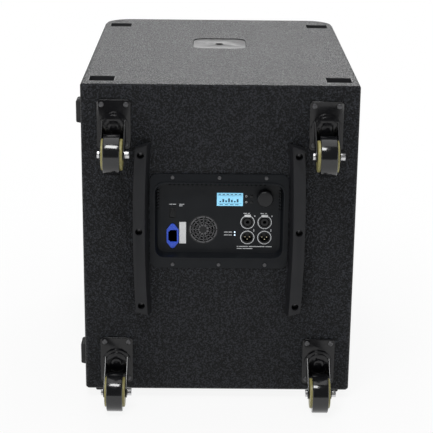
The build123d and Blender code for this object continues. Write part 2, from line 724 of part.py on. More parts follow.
def circuit_board():
    """The amplifier board on four pillars, with its transformer, capacitors and heat sink."""
    y = (back_y + chassis_end) / 2
    top = y + BOARD_T
    board_w, board_h = chassis_w - 2 * BOARD_BORDER, chassis_h - 2 * BOARD_BORDER
    board = panel_at(Rectangle(board_w, board_h), 0, 0, y, top)
    for x in (PILLAR - board_w / 2, board_w / 2 - PILLAR):
        for up in (PILLAR - board_h / 2, board_h / 2 - PILLAR):
            board += panel_at(Rectangle(PILLAR, PILLAR), x, up, top, chassis_end - CHASSIS_T)
    board += panel_at(facet(COIL_CORE_R), -board_w / 4, 0, top, top + PART_H)
    for i in range(FINS):
        board += panel_at(Rectangle(FIN_T, FIN_W), board_w / 8 + FIN_PITCH * i, 0, top, top + PART_H)
    return board


parts["circuit_board"] = circuit_board()
parts["amp_screws"] = group(screw(AMP_SCREW_R, AMP_SCREW_T, -AMP_FLANGE_T, x, AMP_Z + up)
                            for x in (-AMP_SCREW_PITCH, 0, AMP_SCREW_PITCH)
                            for up in (AMP_SCREW_EDGE - AMP_H / 2, AMP_H / 2 - AMP_SCREW_EDGE))
parts["display_lens"] = panel_at(Rectangle(LCD_W, LCD_H), LCD_X, LCD_UP, PANEL_Y - LCD_PROUD,
                                 PANEL_Y - LCD_PROUD + LCD_T)
parts["status_leds"] = group(panel_at(facet(LED_R, SMALL_SIDES), LED_X, LED_UP + i * LED_PITCH / 2,
                                      PANEL_Y - LED_PROUD, back_y + LED_TAIL) for i in (-1, 1))


# ---------------------------------------------------------------- connectors
def mains_inlet():
    front = PANEL_Y - INLET_T
    body = panel_at(inlet_outline(), INLET_X, INLET_UP, front, PANEL_Y)
    body += panel_at(Rectangle(INLET_BODY_W, INLET_BODY_H), INLET_X, INLET_UP, PANEL_Y,
                     front + INLET_CAVITY_DEPTH + INLET_FLOOR)
    cavity = Rectangle(INLET_CAVITY_W, INLET_CAVITY_H)
    cavity = chamfer(cavity.vertices().group_by(Axis.X)[0], INLET_CAVITY_W / 4)
    return body - panel_at(cavity, INLET_X, INLET_UP, front, front + INLET_CAVITY_DEPTH)


parts["mains_inlet"] = mains_inlet()


def pins():
    """Three blades in the inlet and three round pins in each output."""
    floor = PANEL_Y - INLET_T + INLET_CAVITY_DEPTH
    for i in (-1, 0, 1):
        yield panel_at(Rectangle(BLADE_W, BLADE_T), INLET_X + (EARTH_X if i == 0 else LINE_X),
                       INLET_UP + i * BLADE_PITCH, floor - PIN_L, floor)
    floor = PANEL_Y - JACK_PROUD + XLR_DEPTH
    for x in JACKS_X:
        for angle in (0, 180, 270):
            turn = math.radians(angle)
            yield panel_at(facet(PIN_R, SMALL_SIDES), x + PIN_CIRCLE_R * math.cos(turn),
                           OUTPUT_UP + PIN_CIRCLE_R * math.sin(turn), floor - PIN_L, floor)


parts["connector_pins"] = group(pins())


def jack_body(x, up):
    front = PANEL_Y - JACK_PROUD
    body = panel_at(facet(JACK_R), x, up, front, back_y)
    return body + panel_at(Rectangle(JACK_BODY, JACK_BODY), x, up, back_y, front + JACK_DEPTH)


def input_jack(x):
    """A combined socket: a ring groove for a round plug about a core with a centre hole."""
    front = PANEL_Y - JACK_PROUD
    body = jack_body(x, INPUT_UP)
    ring = facet(XLR_R, SCREW_SIDES) - facet(XLR_CORE_R, SCREW_SIDES)
    body -= panel_at(ring, x, INPUT_UP, front, front + XLR_DEPTH)
    body -= panel_at(facet(PHONE_R, SMALL_SIDES), x, INPUT_UP, front, front + JACK_DEPTH - JACK_FLOOR)
    slot = Rectangle(LATCH_W + 2 * SLIDE_GAP, LATCH_H + 2 * SLIDE_GAP)
    return body - panel_at(slot, x, INPUT_UP + latch_up, front - PAST,
                           back_y + 2 * LATCH_TRAVEL)


def output_jack(x):
    front = PANEL_Y - JACK_PROUD
    return jack_body(x, OUTPUT_UP) - panel_at(facet(XLR_R), x, OUTPUT_UP, front, front + XLR_DEPTH)


parts["input_jacks"] = group(input_jack(x) for x in JACKS_X)
parts["output_jacks"] = group(output_jack(x) for x in JACKS_X)
for name, x in zip(("left_jack_latch", "right_jack_latch"), JACKS_X):
    parts[name] = panel_at(Rectangle(LATCH_W, LATCH_H), x, INPUT_UP + latch_up,
                           PANEL_Y - LATCH_PROUD, back_y)


# ---------------------------------------------------------------- controls
knob_back = PANEL_Y - KNOB_LIFT
knob_front = knob_back - KNOB_H
knob_z = DISH_Z + KNOB_UP
parts["encoder_knob"] = stacked_y([(KNOB_R - KNOB_BEVEL, knob_front), (KNOB_R, knob_front + KNOB_BEVEL),
                                   (KNOB_R, knob_back)], FINE_SIDES, KNOB_X, knob_z) \
    + along_y(facet(KNOB_SHAFT_R, SCREW_SIDES), knob_back, back_y + KNOB_SHAFT_L, KNOB_X, knob_z)
sleeve = facet(PLUNGER_R, SMALL_SIDES) - around(KNOB_SHAFT_R)
collar = facet(PLUNGER_R + COLLAR, SMALL_SIDES) - around(KNOB_SHAFT_R)
parts["encoder_plunger"] = panel_at(sleeve, KNOB_X, KNOB_UP, knob_back + REST_GAP, back_y + REST_GAP) \
    + panel_at(collar, KNOB_X, KNOB_UP, back_y + REST_GAP, back_y + COLLAR_T)
for name, i in (("menu_button_upper", 1), ("menu_button_lower", -1)):
    up = BUTTON_UP + i * BUTTON_PITCH / 2
    stem = panel_at(Rectangle(BUTTON_W, BUTTON_H), BUTTON_X, up, PANEL_Y - BUTTON_PROUD, back_y + REST_GAP)
    parts[name] = stem + panel_at(Rectangle(BUTTON_W + 2 * BUTTON_LIP, BUTTON_H + 2 * BUTTON_LIP), BUTTON_X,
                                  up, back_y + REST_GAP, back_y + BUTTON_LIP_T)


def rocker():
    """A dished rocker on a round back, lying with its upper half pressed in."""
    half = ROCKER_H / 2
    edge = -half * math.tan(math.radians(ROCKER_TILT)) - ROCKER_DISH
    back = [(half * math.cos(a), half * math.sin(a))
            for a in (math.radians(90 - 180 * i / ROUND_SIDES) for i in range(ROUND_SIDES + 1))]
    profile = outline([(-ROCKER_DISH, 0), (edge, half - ROCKER_SWELL), *back, (edge, ROCKER_SWELL - half)])
    body = along_x(profile, ROCKER_X - ROCKER_W / 2, ROCKER_X + ROCKER_W / 2)
    return Pos(0, PANEL_Y, DISH_Z + ROCKER_UP) * Rot(-ROCKER_TILT, 0, 0) * body


parts["power_rocker"] = rocker()


def switch_bezel():
    """The switch's frame and its box behind the panel, open at the front."""
    well_w, well_h = ROCKER_W + 2 * SLIDE_GAP, ROCKER_H + WELL_GAP
    rim = Rectangle(well_w + 2 * BEZEL_RIM, well_h + 2 * BEZEL_RIM)
    body = panel_at(rim, ROCKER_X, ROCKER_UP, PANEL_Y - BEZEL_PROUD, PANEL_Y)
    body += panel_at(Rectangle(neck_w, neck_h), ROCKER_X, ROCKER_UP, PANEL_Y, PANEL_Y + BEZEL_DEPTH)
    return body - panel_at(Rectangle(well_w, well_h), ROCKER_X, ROCKER_UP, PANEL_Y - BEZEL_PROUD,
                           PANEL_Y + BEZEL_DEPTH - BEZEL_FLOOR)


parts["switch_bezel"] = switch_bezel()


# ---------------------------------------------------------------- fan
def fan_housing():
    """A square fan body with a spoked guard in the panel's opening and a shaft for the rotor."""
    end = back_y + FAN_T
    body = panel_at(Rectangle(FAN_SQUARE, FAN_SQUARE), FAN_X, FAN_UP, back_y, end)
    body -= panel_at(facet(FAN_R - FAN_DUCT_WALL), FAN_X, FAN_UP, back_y, end)
    ring = facet(FAN_R) - facet(FAN_R - GUARD_RING_W)
    guard = Sketch() + [ring, facet(GUARD_HUB_R, SCREW_SIDES)]
    spoke_l = FAN_R - GUARD_RING_W / 2
    for i in range(GUARD_SPOKES):
        guard += Rot(0, 0, 360 / GUARD_SPOKES * i) * Pos(spoke_l / 2, 0) * Rectangle(spoke_l, GUARD_SPOKE_W)
    body += panel_at(guard, FAN_X, FAN_UP, PANEL_Y, back_y)
    back = Sketch() + [facet(GUARD_HUB_R, SCREW_SIDES)]
    for i in range(BACK_ARMS):
        back += Rot(0, 0, 360 / BACK_ARMS * i + 30) * Pos(FAN_R / 2, 0) * Rectangle(FAN_R, 2 * GUARD_SPOKE_W)
    body += panel_at(back, FAN_X, FAN_UP, end - BACK_ARM_T, end)
    return body + panel_at(facet(FAN_SHAFT_R, SCREW_SIDES), FAN_X, FAN_UP, PANEL_Y, end)


def fan_rotor():
    start, end = back_y + FAN_TIP_GAP, back_y + FAN_T - BACK_ARM_T - FAN_TIP_GAP
    middle = (start + end) / 2
    tip = FAN_R - FAN_DUCT_WALL - FAN_TIP_GAP
    body = panel_at(facet(FAN_HUB_R, SCREW_SIDES), 0, 0, start, end)
    reach = tip - FAN_HUB_R / 2
    for i in range(FAN_BLADES):
        blade = Box(reach, FAN_BLADE_W, FAN_BLADE_T)
        blade = Rot(FAN_PITCH, 0, 0) * blade
        blade = Pos(FAN_HUB_R / 2 + reach / 2, 0, 0) * blade
        body += Pos(0, middle, DISH_Z) * Rot(0, 360 / FAN_BLADES * i, 0) * blade
    body -= panel_at(around(FAN_SHAFT_R), 0, 0, start, end)
    return Pos(FAN_X, 0, FAN_UP) * body


parts["fan_housing"] = fan_housing()
parts["fan_rotor"] = fan_rotor()

# ---------------------------------------------------------------- woofer
front_y = BAFFLE_Y + WOOFER_FLANGE_T
basket_y = BAFFLE_Y - BASKET_DEPTH


def woofer_frame():
    """A cast basket: bolting flange, sloping spokes and a back ring that holds the motor."""
    body = along_y(facet(WOOFER_R) - facet(SURROUND_R), BAFFLE_Y + BASKET_T, front_y, 0, WOOFER_Z)
    body += along_y(facet(WOOFER_R) - facet(BASKET_SEAT_R - BASKET_T), BAFFLE_Y, BAFFLE_Y + BASKET_T,
                    0, WOOFER_Z)
    body += along_y(facet(BASKET_BACK_R) - facet(COIL_R + BASKET_CLEAR), basket_y, basket_y + BASKET_T,
                    0, WOOFER_Z)
    body += along_y(facet(BASKET_SEAT_R) - facet(BASKET_SEAT_R - BASKET_T), BAFFLE_Y - WALL, BAFFLE_Y,
                    0, WOOFER_Z)
    seat_r, foot_r = BASKET_SEAT_R - BASKET_T, BASKET_BACK_R - 2 * BASKET_T
    for i in range(BASKET_SPOKES):
        spoke = solid_between([[(r + dr, y, dz) for dr, dz in ((0, -SPOKE_W / 2), (BASKET_T, -SPOKE_W / 2),
                                                              (BASKET_T, SPOKE_W / 2), (0, SPOKE_W / 2))]
                               for r, y in ((seat_r, BAFFLE_Y - WALL), (foot_r, basket_y))])
        body += Pos(0, 0, WOOFER_Z) * Rot(0, 360 / BASKET_SPOKES * i, 0) * spoke
    return body


def woofer_motor():
    """Magnet and pole plates, with the ring gap that the coil works in."""
    back = basket_y - MAGNET_L
    gap_out, gap_in = COIL_R + COIL_T + MAGNET_GAP, COIL_R - MAGNET_GAP
    gap = facet(gap_out) - facet(gap_in)
    return along_y(facet(MAGNET_R), back, basket_y, 0, WOOFER_Z) \
        - along_y(gap, back + MAGNET_FLOOR, basket_y, 0, WOOFER_Z)


def woofer_cone():
    """Paper cone, dust cap and coil former, which move as one."""
    neck = front_y - CONE_DEPTH
    cap_y = neck + CAP_UP
    coil_end = basket_y - MAGNET_L / 2
    body = stacked_y([(COIL_R + COIL_T, coil_end), (COIL_R + COIL_T, neck), (CONE_R, front_y - CONE_T),
                      (CONE_R, front_y)])
    body -= stacked_y([(COIL_R + CAP_UP, cap_y), (CONE_R - 2 * CONE_T, front_y)])
    body += stacked_y([(COIL_R, cap_y), (COIL_R / 2, cap_y + CAP_UP)])
    body -= stacked_y([(COIL_R, coil_end), (COIL_R, cap_y - CONE_T)])
    return Pos(0, 0, WOOFER_Z) * body


def suspension():
    """The raised roll of the surround and the flat spider, each just clear of the cone."""
    roll_in = CONE_R + CONE_GAP
    middle = (roll_in + SURROUND_R) / 2
    half, top = (SURROUND_R - roll_in) / 3, (SURROUND_R - roll_in) / 6
    flat = along_y(facet(SURROUND_R) - facet(roll_in), front_y - ROLL_T, front_y)
    roll = stacked_y([(middle + half, front_y), (middle + top, front_y + ROLL_H)]) \
        - stacked_y([(middle - half, front_y), (middle - top, front_y + ROLL_H)])
    spider_y = BAFFLE_Y - SPIDER_DEPTH
    spider = along_y(facet(SPIDER_R) - facet(COIL_R + COIL_T + CONE_GAP), spider_y, spider_y + ROLL_T)
    return Pos(0, 0, WOOFER_Z) * group([flat + roll, spider])


parts["woofer_frame"] = woofer_frame()
parts["woofer_magnet"] = woofer_motor()
parts["woofer_cone"] = woofer_cone()
parts["woofer_suspension"] = suspension()


# ---------------------------------------------------------------- swivel casters
# Each caster is drawn about its swivel axis (y) at x = z = 0, hanging down.
race_y = -PLATE_T - RACE_T
crown_back = race_y - RACE_GAP
crown_face = crown_back - FORK_T
ring_y = crown_face - CROWN_RING_H


def caster_plate():
    """Mounting plate with the fixed race and the riveted kingpin."""
    outline = Rectangle(PLATE_W, PLATE_H)
    plate = along_y(chamfer(outline.vertices(), PLATE_CORNER), -PLATE_T, 0)
    head_y = ring_y - RACE_GAP
    race = along_y(facet(RACE_R, SCREW_SIDES), race_y, -PLATE_T)
    pin = along_y(facet(KINGPIN_R, SCREW_SIDES), head_y, race_y)
    return plate + race + pin + along_y(facet(KINGPIN_HEAD_R, SCREW_SIDES), head_y - KINGPIN_HEAD_T, head_y)


def fork_outline():
    """The stamped crown as seen from the rear: a disc that narrows to the two legs."""
    crown = Pos(0, -CROWN_DROP) * facet(CROWN_R)
    shoulder = Pos(0, SHOULDER_Z) * Rectangle(2 * LEG_OUT, FORK_T)
    return make_hull((Sketch() + [crown, shoulder]).edges())


def caster_fork():
    """A pressed fork: crown plate with a raised ring, and legs that run out to the axle."""
    end = Pos(-AXLE_OUT, -TRAIL) * facet(LEG_END_R, SCREW_SIDES)
    root = Pos(crown_back - FORK_T / 2, LEG_ROOT_Z) * Rectangle(FORK_T, LEG_ROOT_L)
    side = make_hull((Sketch() + [end, root]).edges())
    fork = along_y(fork_outline(), crown_face, crown_back)
    fork += along_y(facet(CROWN_RING_R), ring_y, crown_face)
    for x0, x1 in ((-LEG_OUT, -LEG_IN), (LEG_IN, LEG_OUT)):
        fork += along_x(side, x0, x1)
    fork -= along_y(around(KINGPIN_R), ring_y, crown_back)
    return fork - along_x(Rectangle(2 * AXLE_R, 2 * AXLE_R), -CROWN_R, CROWN_R, -AXLE_OUT, -TRAIL)


def caster_axle():
    """A bolt round between the legs and square in them, with a head at one end and a nut at the other."""
    middle = (0, -AXLE_OUT, -TRAIL)
    pin = along_x(facet(AXLE_R, SCREW_SIDES), -LEG_IN, LEG_IN, *middle[1:])
    for x0, x1, shape in ((-LEG_OUT, -LEG_IN, Rectangle(2 * AXLE_R, 2 * AXLE_R)),
                          (LEG_IN, LEG_OUT, Rectangle(2 * AXLE_R, 2 * AXLE_R)),
                          (-LEG_OUT - AXLE_HEAD_T, -LEG_OUT, hexagon(NUT_AF)),
                          (LEG_OUT, LEG_OUT + NUT_T, hexagon(NUT_AF))):
        pin += along_x(shape, x0, x1, *middle[1:])
    return pin


def caster_core():
    """The moulded wheel body, a disc that stands proud of the tread, with a running bore."""
    section = facet(CORE_R, FINE_SIDES) - around(AXLE_R)
    return along_x(section, -HUB_HALF, HUB_HALF, -AXLE_OUT, -TRAIL)


def caster_tread():
    """The tread, bonded on the core."""
    section = facet(WHEEL_R, FINE_SIDES) - facet(CORE_R, FINE_SIDES)
    return along_x(section, -TREAD_W / 2, TREAD_W / 2, -AXLE_OUT, -TRAIL)


caster_spots = [(f"{level}_{side}", Pos(SIDES[side] * CASTER_X, 0, CASTER_Z[level]))
                for level in CASTER_Z for side in SIDES]
plate_solid, fork_solid, axle_solid = caster_plate(), caster_fork(), caster_axle()
core_solid, tread_solid = caster_core(), caster_tread()
parts["caster_plates"] = group(spot * plate_solid for _, spot in caster_spots)
parts["caster_screws"] = group(
    spot * screw(CASTER_SCREW_R, CASTER_SCREW_T, -PLATE_T, sx * CASTER_SCREW_X / 2, sz * CASTER_SCREW_Z / 2)
    for _, spot in caster_spots for sx in (-1, 1) for sz in (-1, 1))
for name, spot in caster_spots:
    parts[f"caster_fork_{name}"] = spot * fork_solid
    parts[f"caster_axle_{name}"] = spot * axle_solid
    parts[f"caster_core_{name}"] = spot * core_solid
    parts[f"caster_tread_{name}"] = spot * tread_solid

# ---------------------------------------------------------------- write the parts
if __name__ == "__main__":
    for name, shape in parts.items():
        export_step(ROW * shape, f"parts/{name}.step")
    print(len(parts), "parts written")
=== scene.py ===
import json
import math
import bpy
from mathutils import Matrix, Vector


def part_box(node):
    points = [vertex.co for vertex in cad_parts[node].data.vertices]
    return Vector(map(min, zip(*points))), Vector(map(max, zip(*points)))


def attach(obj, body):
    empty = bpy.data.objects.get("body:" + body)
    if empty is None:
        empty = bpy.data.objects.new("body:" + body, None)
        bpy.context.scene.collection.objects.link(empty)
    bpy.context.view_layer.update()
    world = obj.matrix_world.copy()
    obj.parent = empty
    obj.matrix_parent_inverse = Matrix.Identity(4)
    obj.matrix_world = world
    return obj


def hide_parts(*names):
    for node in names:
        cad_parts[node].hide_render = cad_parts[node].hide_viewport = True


bl_info = {
    "name": "Powered subwoofer on casters",
    "version": (1, 0, 0),
    "blender": (4, 5, 0),
    "location": "3D View > Sidebar > Subwoofer",
    "description": "Dresses the subwoofer with paint, moulded plastic, metal, rubber and panel print",
    "category": "Object",
}

import bmesh
import bpy
from bpy.props import FloatProperty, FloatVectorProperty, IntProperty, PointerProperty
from mathutils import Matrix, Vector

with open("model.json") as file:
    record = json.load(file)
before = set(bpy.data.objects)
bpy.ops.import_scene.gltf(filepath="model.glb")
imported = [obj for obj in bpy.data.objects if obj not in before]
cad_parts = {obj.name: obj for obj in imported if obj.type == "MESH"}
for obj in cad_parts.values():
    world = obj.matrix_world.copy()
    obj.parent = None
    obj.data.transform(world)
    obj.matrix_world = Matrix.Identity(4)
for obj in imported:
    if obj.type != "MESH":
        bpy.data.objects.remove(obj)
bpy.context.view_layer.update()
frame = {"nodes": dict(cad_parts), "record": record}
NODES = frame["nodes"]
BODIES = frame["record"]["behaviour"]["bodies"]
SLOTS = {part["node"]: part["material_slot"] for part in frame["record"]["subparts"]}
BODY_OF = {node: body for body, members in BODIES.items() for node in members}
SPOTS = [f"{level}_{side}" for level in ("upper", "lower") for side in ("left", "right")]


def middle(node):
    low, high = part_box(node)
    return (low + high) / 2


PANEL_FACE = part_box("control_panel")[0].y

# Print on the panel, in metres from the middle of its socket, light, switch or inlet: x from and to,
# then z from and to, or a drop below or a rise above it
PRINT_LIFT = 0.00001
SOCKET_RING = 0.0133
WORD_HEIGHT = 0.0014
SMALL_WORD = 0.0012
INPUT_MARKS = [(-0.008, -0.0015, 0.0165, 0.018), (0.0005, 0.004, 0.0165, 0.018),
               (0.0125, 0.0145, 0.011, 0.0135), (0.0115, 0.0127, -0.0185, -0.0135)]
OUTPUT_WORDS = [(-0.0195, -0.0165, 0.0188), (-0.0150, 0.0020, 0.0188), (0.0036, 0.0330, 0.0188),
                (0.0345, 0.0465, 0.0188), (-0.0195, -0.0100, 0.0228), (-0.0086, 0.0100, 0.0228)]
LIGHT_WORDS = [(-0.0200, -0.0130), (-0.0118, -0.0050)]
SWITCH_WORDS = [(-0.0065, -0.0005, 0.0166), (0.0005, 0.0065, 0.0166), (0.0125, 0.0215, 0.0166),
                (0.0125, 0.0185, 0.0136)]
BUTTON_MARK = (0.0020, 0.0013)
BUTTON_MARK_IN = 0.0096
LABEL = (0.0126, 0.0252, -0.0154, 0.0271)
LABEL_THICK = 0.0002

# Marks on the display, as shares of its width and height: two lines, then rows of blocks and bars
SCREEN_MARKS = [(0.05, 0.95, 0.78, 0.80), (0.05, 0.95, 0.17, 0.19)]
SCREEN_MARKS += [(0.06 + 0.155 * i, 0.15 + 0.155 * i, 0.86, 0.92) for i in range(6)]
SCREEN_MARKS += [(0.10 + 0.11 * i, 0.17 + 0.11 * i, 0.28, 0.38 + 0.05 * (i * 3 % 5)) for i in range(7)]
SCREEN_MARKS += [(0.10 + 0.20 * i, 0.24 + 0.20 * i, 0.07, 0.12) for i in range(4)]

# Finger guard of the fan: outer and inner radius of each ring, and the first spoke's limits
GUARD_RINGS = [(0.0100, 0.0020), (0.0152, 0.0136), (0.0208, 0.0192), (0.0262, 0.0236)]
GUARD_SPOKE = (0.0095, 0.0245, -0.0007, 0.0007)
GUARD_DEPTH = 0.0011
GUARD_THICK = 0.0009

# Camera's swing, downward tilt and roll in degrees; where the floor fades to plain white
CAMERA_TURN = (-0.37, 17.876, 0.622)
FLOOR_FADE = (0.6, 1.6, 0.9, 1.0)


# ------------------------------------------------------------------ settings
def length(name, text, default, low=0.0, high=10.0):
    return FloatProperty(name=name, description=text, default=default, min=low, max=high, unit="LENGTH",
                         precision=5)


def colour(name, text, default):
    return FloatVectorProperty(name=name, description=text, default=default, size=3, min=0, max=1,
                               subtype="COLOR")


class CabinetSettings(bpy.types.PropertyGroup):
    paint: colour("Paint", "Colour of the textured cabinet paint", (0.0020, 0.0024, 0.0032))
    # The lighter grain colour is a painted sheen on the raised bumps of the paint; the paint itself is one
    # even black
    painted_grain_sheen: colour("Paint grain", "Colour of the raised grain of the paint", (0.026, 0.0285, 0.035))
    grain: length("Grain size", "Distance between the bumps of the paint", 0.0030, 0.0002, 0.02)
    edge: length("Edge radius", "Rounding of the cabinet's edges", 0.0012, 0, 0.01)
    moulding: colour("Mouldings", "Colour of cups, rails and feet", (0.012, 0.0125, 0.0145))


class AmplifierSettings(bpy.types.PropertyGroup):
    finish: colour("Panel", "Colour of the amplifier frame and panel", (0.0045, 0.0058, 0.0078))
    print_ink: colour("Print", "Colour of the rings and bars on the panel", (0.72, 0.74, 0.76))
    screen: colour("Screen", "Colour of the lit display", (0.28, 0.69, 0.96))
    screen_glow: FloatProperty(name="Screen glow", description="Strength of the display's own light",
                               default=0.45, min=0, max=5)
    inlet: colour("Mains inlet", "Colour of the mains inlet", (0.035, 0.105, 0.72))
    line: length("Line width", "Width of the printed rings", 0.0014, 0.0001, 0.005)
    guard: IntProperty(name="Guard spokes", description="Spokes of the fan's finger guard", default=16,
                       min=4, max=48)


class CasterSettings(bpy.types.PropertyGroup):
    steel: colour("Fork", "Colour of the lacquered plates and forks", (0.004, 0.004, 0.005))
    tread: colour("Tread", "Colour of the wheel's tread", (0.005, 0.0053, 0.0065))
    core: colour("Wheel body", "Colour of the moulded wheel body", (0.40, 0.36, 0.135))
    edge: length("Edge radius", "Rounding of the pressed steel", 0.0007, 0, 0.005)


class StageSettings(bpy.types.PropertyGroup):
    floor: colour("Floor", "Colour of the floor and the background", (0.93, 0.93, 0.93))
    lens: FloatProperty(name="Lens", description="Focal length of the camera in millimetres",
                        default=113.6, min=10, max=400)
    height: length("Camera height", "Height of the camera above the floor", 1.1541, 0, 10)
    distance: length("Camera distance", "Camera's place behind the middle of the object", 2.7261, 0, 20)
    sideways: length("Camera sideways", "Camera's place left or right of the middle", -0.015, -5, 5)
    key: FloatProperty(name="Key light", description="Power of the main softbox in watts", default=26,
                       min=0, max=2000)


# ------------------------------------------------------------------ materials
class Finish:
    """A node material on Object coordinates, built one step at a time."""

    def __init__(self, name, base, roughness, metallic=0.0, **shader):
        self.material = bpy.data.materials.new(name)
        self.material.use_nodes = True
        self.tree = self.material.node_tree
        self.shader = self.tree.nodes["Principled BSDF"]
        self.shader.inputs["Base Color"].default_value = (*base, 1)
        self.shader.inputs["Roughness"].default_value = roughness
        self.shader.inputs["Metallic"].default_value = metallic
        for socket, value in shader.items():
            self.shader.inputs[socket.replace("_", " ")].default_value = value
        self.place = self.add("ShaderNodeTexCoord").outputs["Object"]
        self.normal = None

    def add(self, kind, **settings):
        node = self.tree.nodes.new(kind)
        for key, value in settings.items():
            setattr(node, key, value)
        return node

    def link(self, a, b):
        self.tree.links.new(a, b)

    def stretched(self, scale):
        """The object coordinates, scaled by a different amount each way."""
        node = self.add("ShaderNodeMapping")
        node.inputs["Scale"].default_value = scale
        self.link(self.place, node.inputs["Vector"])
        return node.outputs["Vector"]

    def noise(self, size, detail=2.0, rough=0.5, place=None):
        node = self.add("ShaderNodeTexNoise")
        node.inputs["Scale"].default_value = 1 / size
        node.inputs["Detail"].default_value = detail
        node.inputs["Roughness"].default_value = rough
        self.link(place or self.place, node.inputs["Vector"])
        return node.outputs["Fac"]

    def cells(self, size, feature="F1"):
        node = self.add("ShaderNodeTexVoronoi", feature=feature)
        node.inputs["Scale"].default_value = 1 / size
        self.link(self.place, node.inputs["Vector"])
        return node.outputs["Distance"]

    def ramp(self, value, low, high, first, last):
        """A number that runs from first to last while value runs from low to high."""
        node = self.add("ShaderNodeMapRange")
        for socket, number in zip(("From Min", "From Max", "To Min", "To Max"), (low, high, first, last)):
            node.inputs[socket].default_value = number
        self.link(value, node.inputs["Value"])
        return node.outputs["Result"]

    def mix_colour(self, factor, first, second):
        node = self.add("ShaderNodeMix", data_type="RGBA")
        node.inputs[6].default_value = (*first, 1)
        node.inputs[7].default_value = (*second, 1)
        self.link(factor, node.inputs["Factor"])
        self.link(node.outputs[2], self.shader.inputs["Base Color"])
        return self

    def rough(self, value):
        self.link(value, self.shader.inputs["Roughness"])
        return self

    def bump(self, height, depth, strength=1.0):
        node = self.add("ShaderNodeBump")
        node.inputs["Strength"].default_value = strength
        node.inputs["Distance"].default_value = depth
        self.link(height, node.inputs["Height"])
        if self.normal:
            self.link(self.normal, node.inputs["Normal"])
        self.normal = node.outputs["Normal"]
        self.link(self.normal, self.shader.inputs["Normal"])
        return self


def known(name, build):
    """The procedural material of that name, built on its first use."""
    label = name + "_finish"
    return bpy.data.materials.get(label) or build(label).material


def cabinet_paint(name):
    settings = bpy.context.scene.sub_cabinet
    finish = Finish(name, settings.paint, 0.5, Specular_IOR_Level=0.22)
    grain = finish.noise(settings.grain, 2.0, 0.6)
    # Raised grain gets the lighter colour: painted sheen on the bumps; the bumps and the rougher hollows are
    # real
    finish.mix_colour(finish.ramp(grain, 0.48, 0.62, 0, 1), settings.paint, settings.painted_grain_sheen)
    finish.rough(finish.ramp(grain, 0.35, 0.65, 0.6, 0.3))
    return finish.bump(grain, settings.grain, 1.0)


def moulding(name):
    finish = Finish(name, bpy.context.scene.sub_cabinet.moulding, 0.48, Specular_IOR_Level=0.3)
    grain = finish.noise(0.0009, 2.0)
    finish.rough(finish.ramp(finish.noise(0.03, 3.0), 0.3, 0.7, 0.42, 0.56))
    return finish.bump(grain, 0.00012, 0.5)


def rubber(name):
    finish = Finish(name, (0.014, 0.014, 0.015), 0.7)
    finish.rough(finish.ramp(finish.noise(0.008, 3.0), 0.3, 0.7, 0.6, 0.8))
    return finish.bump(finish.noise(0.0012, 3.0), 0.0001, 0.5)


def black_coat(name):
    finish = Finish(name, (0.006, 0.006, 0.007), 0.4, Specular_IOR_Level=0.3)
    finish.rough(finish.ramp(finish.noise(0.02, 3.0), 0.3, 0.7, 0.34, 0.46))
    return finish.bump(finish.noise(0.0007, 2.0), 0.00008, 0.5)


def amplifier_coat(name):
    finish = Finish(name, bpy.context.scene.sub_amplifier.finish, 0.42, Specular_IOR_Level=0.22)
    finish.rough(finish.ramp(finish.noise(0.025, 3.0), 0.3, 0.7, 0.36, 0.5))
    return finish.bump(finish.noise(0.0006, 2.0), 0.00007, 0.5)


def socket_black(name):
    finish = Finish(name, (0.006, 0.0065, 0.0075), 0.38, Specular_IOR_Level=0.35)
    return finish.bump(finish.noise(0.0005, 2.0), 0.00003, 0.5)


def lacquer(name):
    finish = Finish(name, bpy.context.scene.sub_caster.steel, 0.2, Coat_Weight=0.15, Coat_Roughness=0.08,
                    Specular_IOR_Level=0.35)
    finish.rough(finish.ramp(finish.noise(0.01, 3.0), 0.3, 0.7, 0.14, 0.26))
    return finish.bump(finish.noise(0.004, 2.0), 0.00008, 0.35)


def tread_rubber(name):
    finish = Finish(name, bpy.context.scene.sub_caster.tread, 0.2, Coat_Weight=0.35, Coat_Roughness=0.08)
    finish.rough(finish.ramp(finish.noise(0.006, 3.0), 0.3, 0.7, 0.1, 0.2))
    return finish.bump(finish.noise(0.0025, 2.0), 0.00003, 0.4)


def wheel_body(name):
    base = bpy.context.scene.sub_caster.core
    finish = Finish(name, base, 0.4)
    finish.mix_colour(finish.ramp(finish.noise(0.018, 3.0), 0.35, 0.65, 0, 1), base,
                      [c * 0.8 for c in base])
    return finish.bump(finish.noise(0.002, 2.0), 0.00005, 0.4)


def zinc(name):
    finish = Finish(name, (0.62, 0.62, 0.63), 0.28, 1.0)
    finish.rough(finish.ramp(finish.noise(0.002, 3.0), 0.3, 0.7, 0.22, 0.4))
    return finish.bump(finish.noise(0.0004, 2.0, place=finish.stretched((1, 6, 6))), 0.00003, 0.5)


def black_steel(name):
    finish = Finish(name, (0.12, 0.12, 0.125), 0.3, 0.8)
    finish.rough(finish.ramp(finish.noise(0.0015, 3.0), 0.3, 0.7, 0.28, 0.46))
    return finish.bump(finish.noise(0.0005, 2.0), 0.00003, 0.5)


def inlet_plastic(name):
    base = bpy.context.scene.sub_amplifier.inlet
    finish = Finish(name, base, 0.32)
    finish.mix_colour(finish.ramp(finish.noise(0.004, 3.0), 0.35, 0.65, 0, 1), base, [c * 0.82 for c in base])
    return finish.bump(finish.noise(0.0006, 2.0), 0.00003, 0.4)


def screen_light(name):
    settings = bpy.context.scene.sub_amplifier
    finish = Finish(name, settings.screen, 0.12, Emission_Color=(*settings.screen, 1),
                    Emission_Strength=settings.screen_glow)
    return finish.mix_colour(finish.ramp(finish.noise(0.02, 2.0), 0.3, 0.7, 0, 1), settings.screen,
                             [c * 0.92 for c in settings.screen])


def screen_dark(name):
    finish = Finish(name, (0.02, 0.09, 0.16), 0.2)
    return finish.bump(finish.noise(0.0006, 2.0), 0.00001, 0.3)


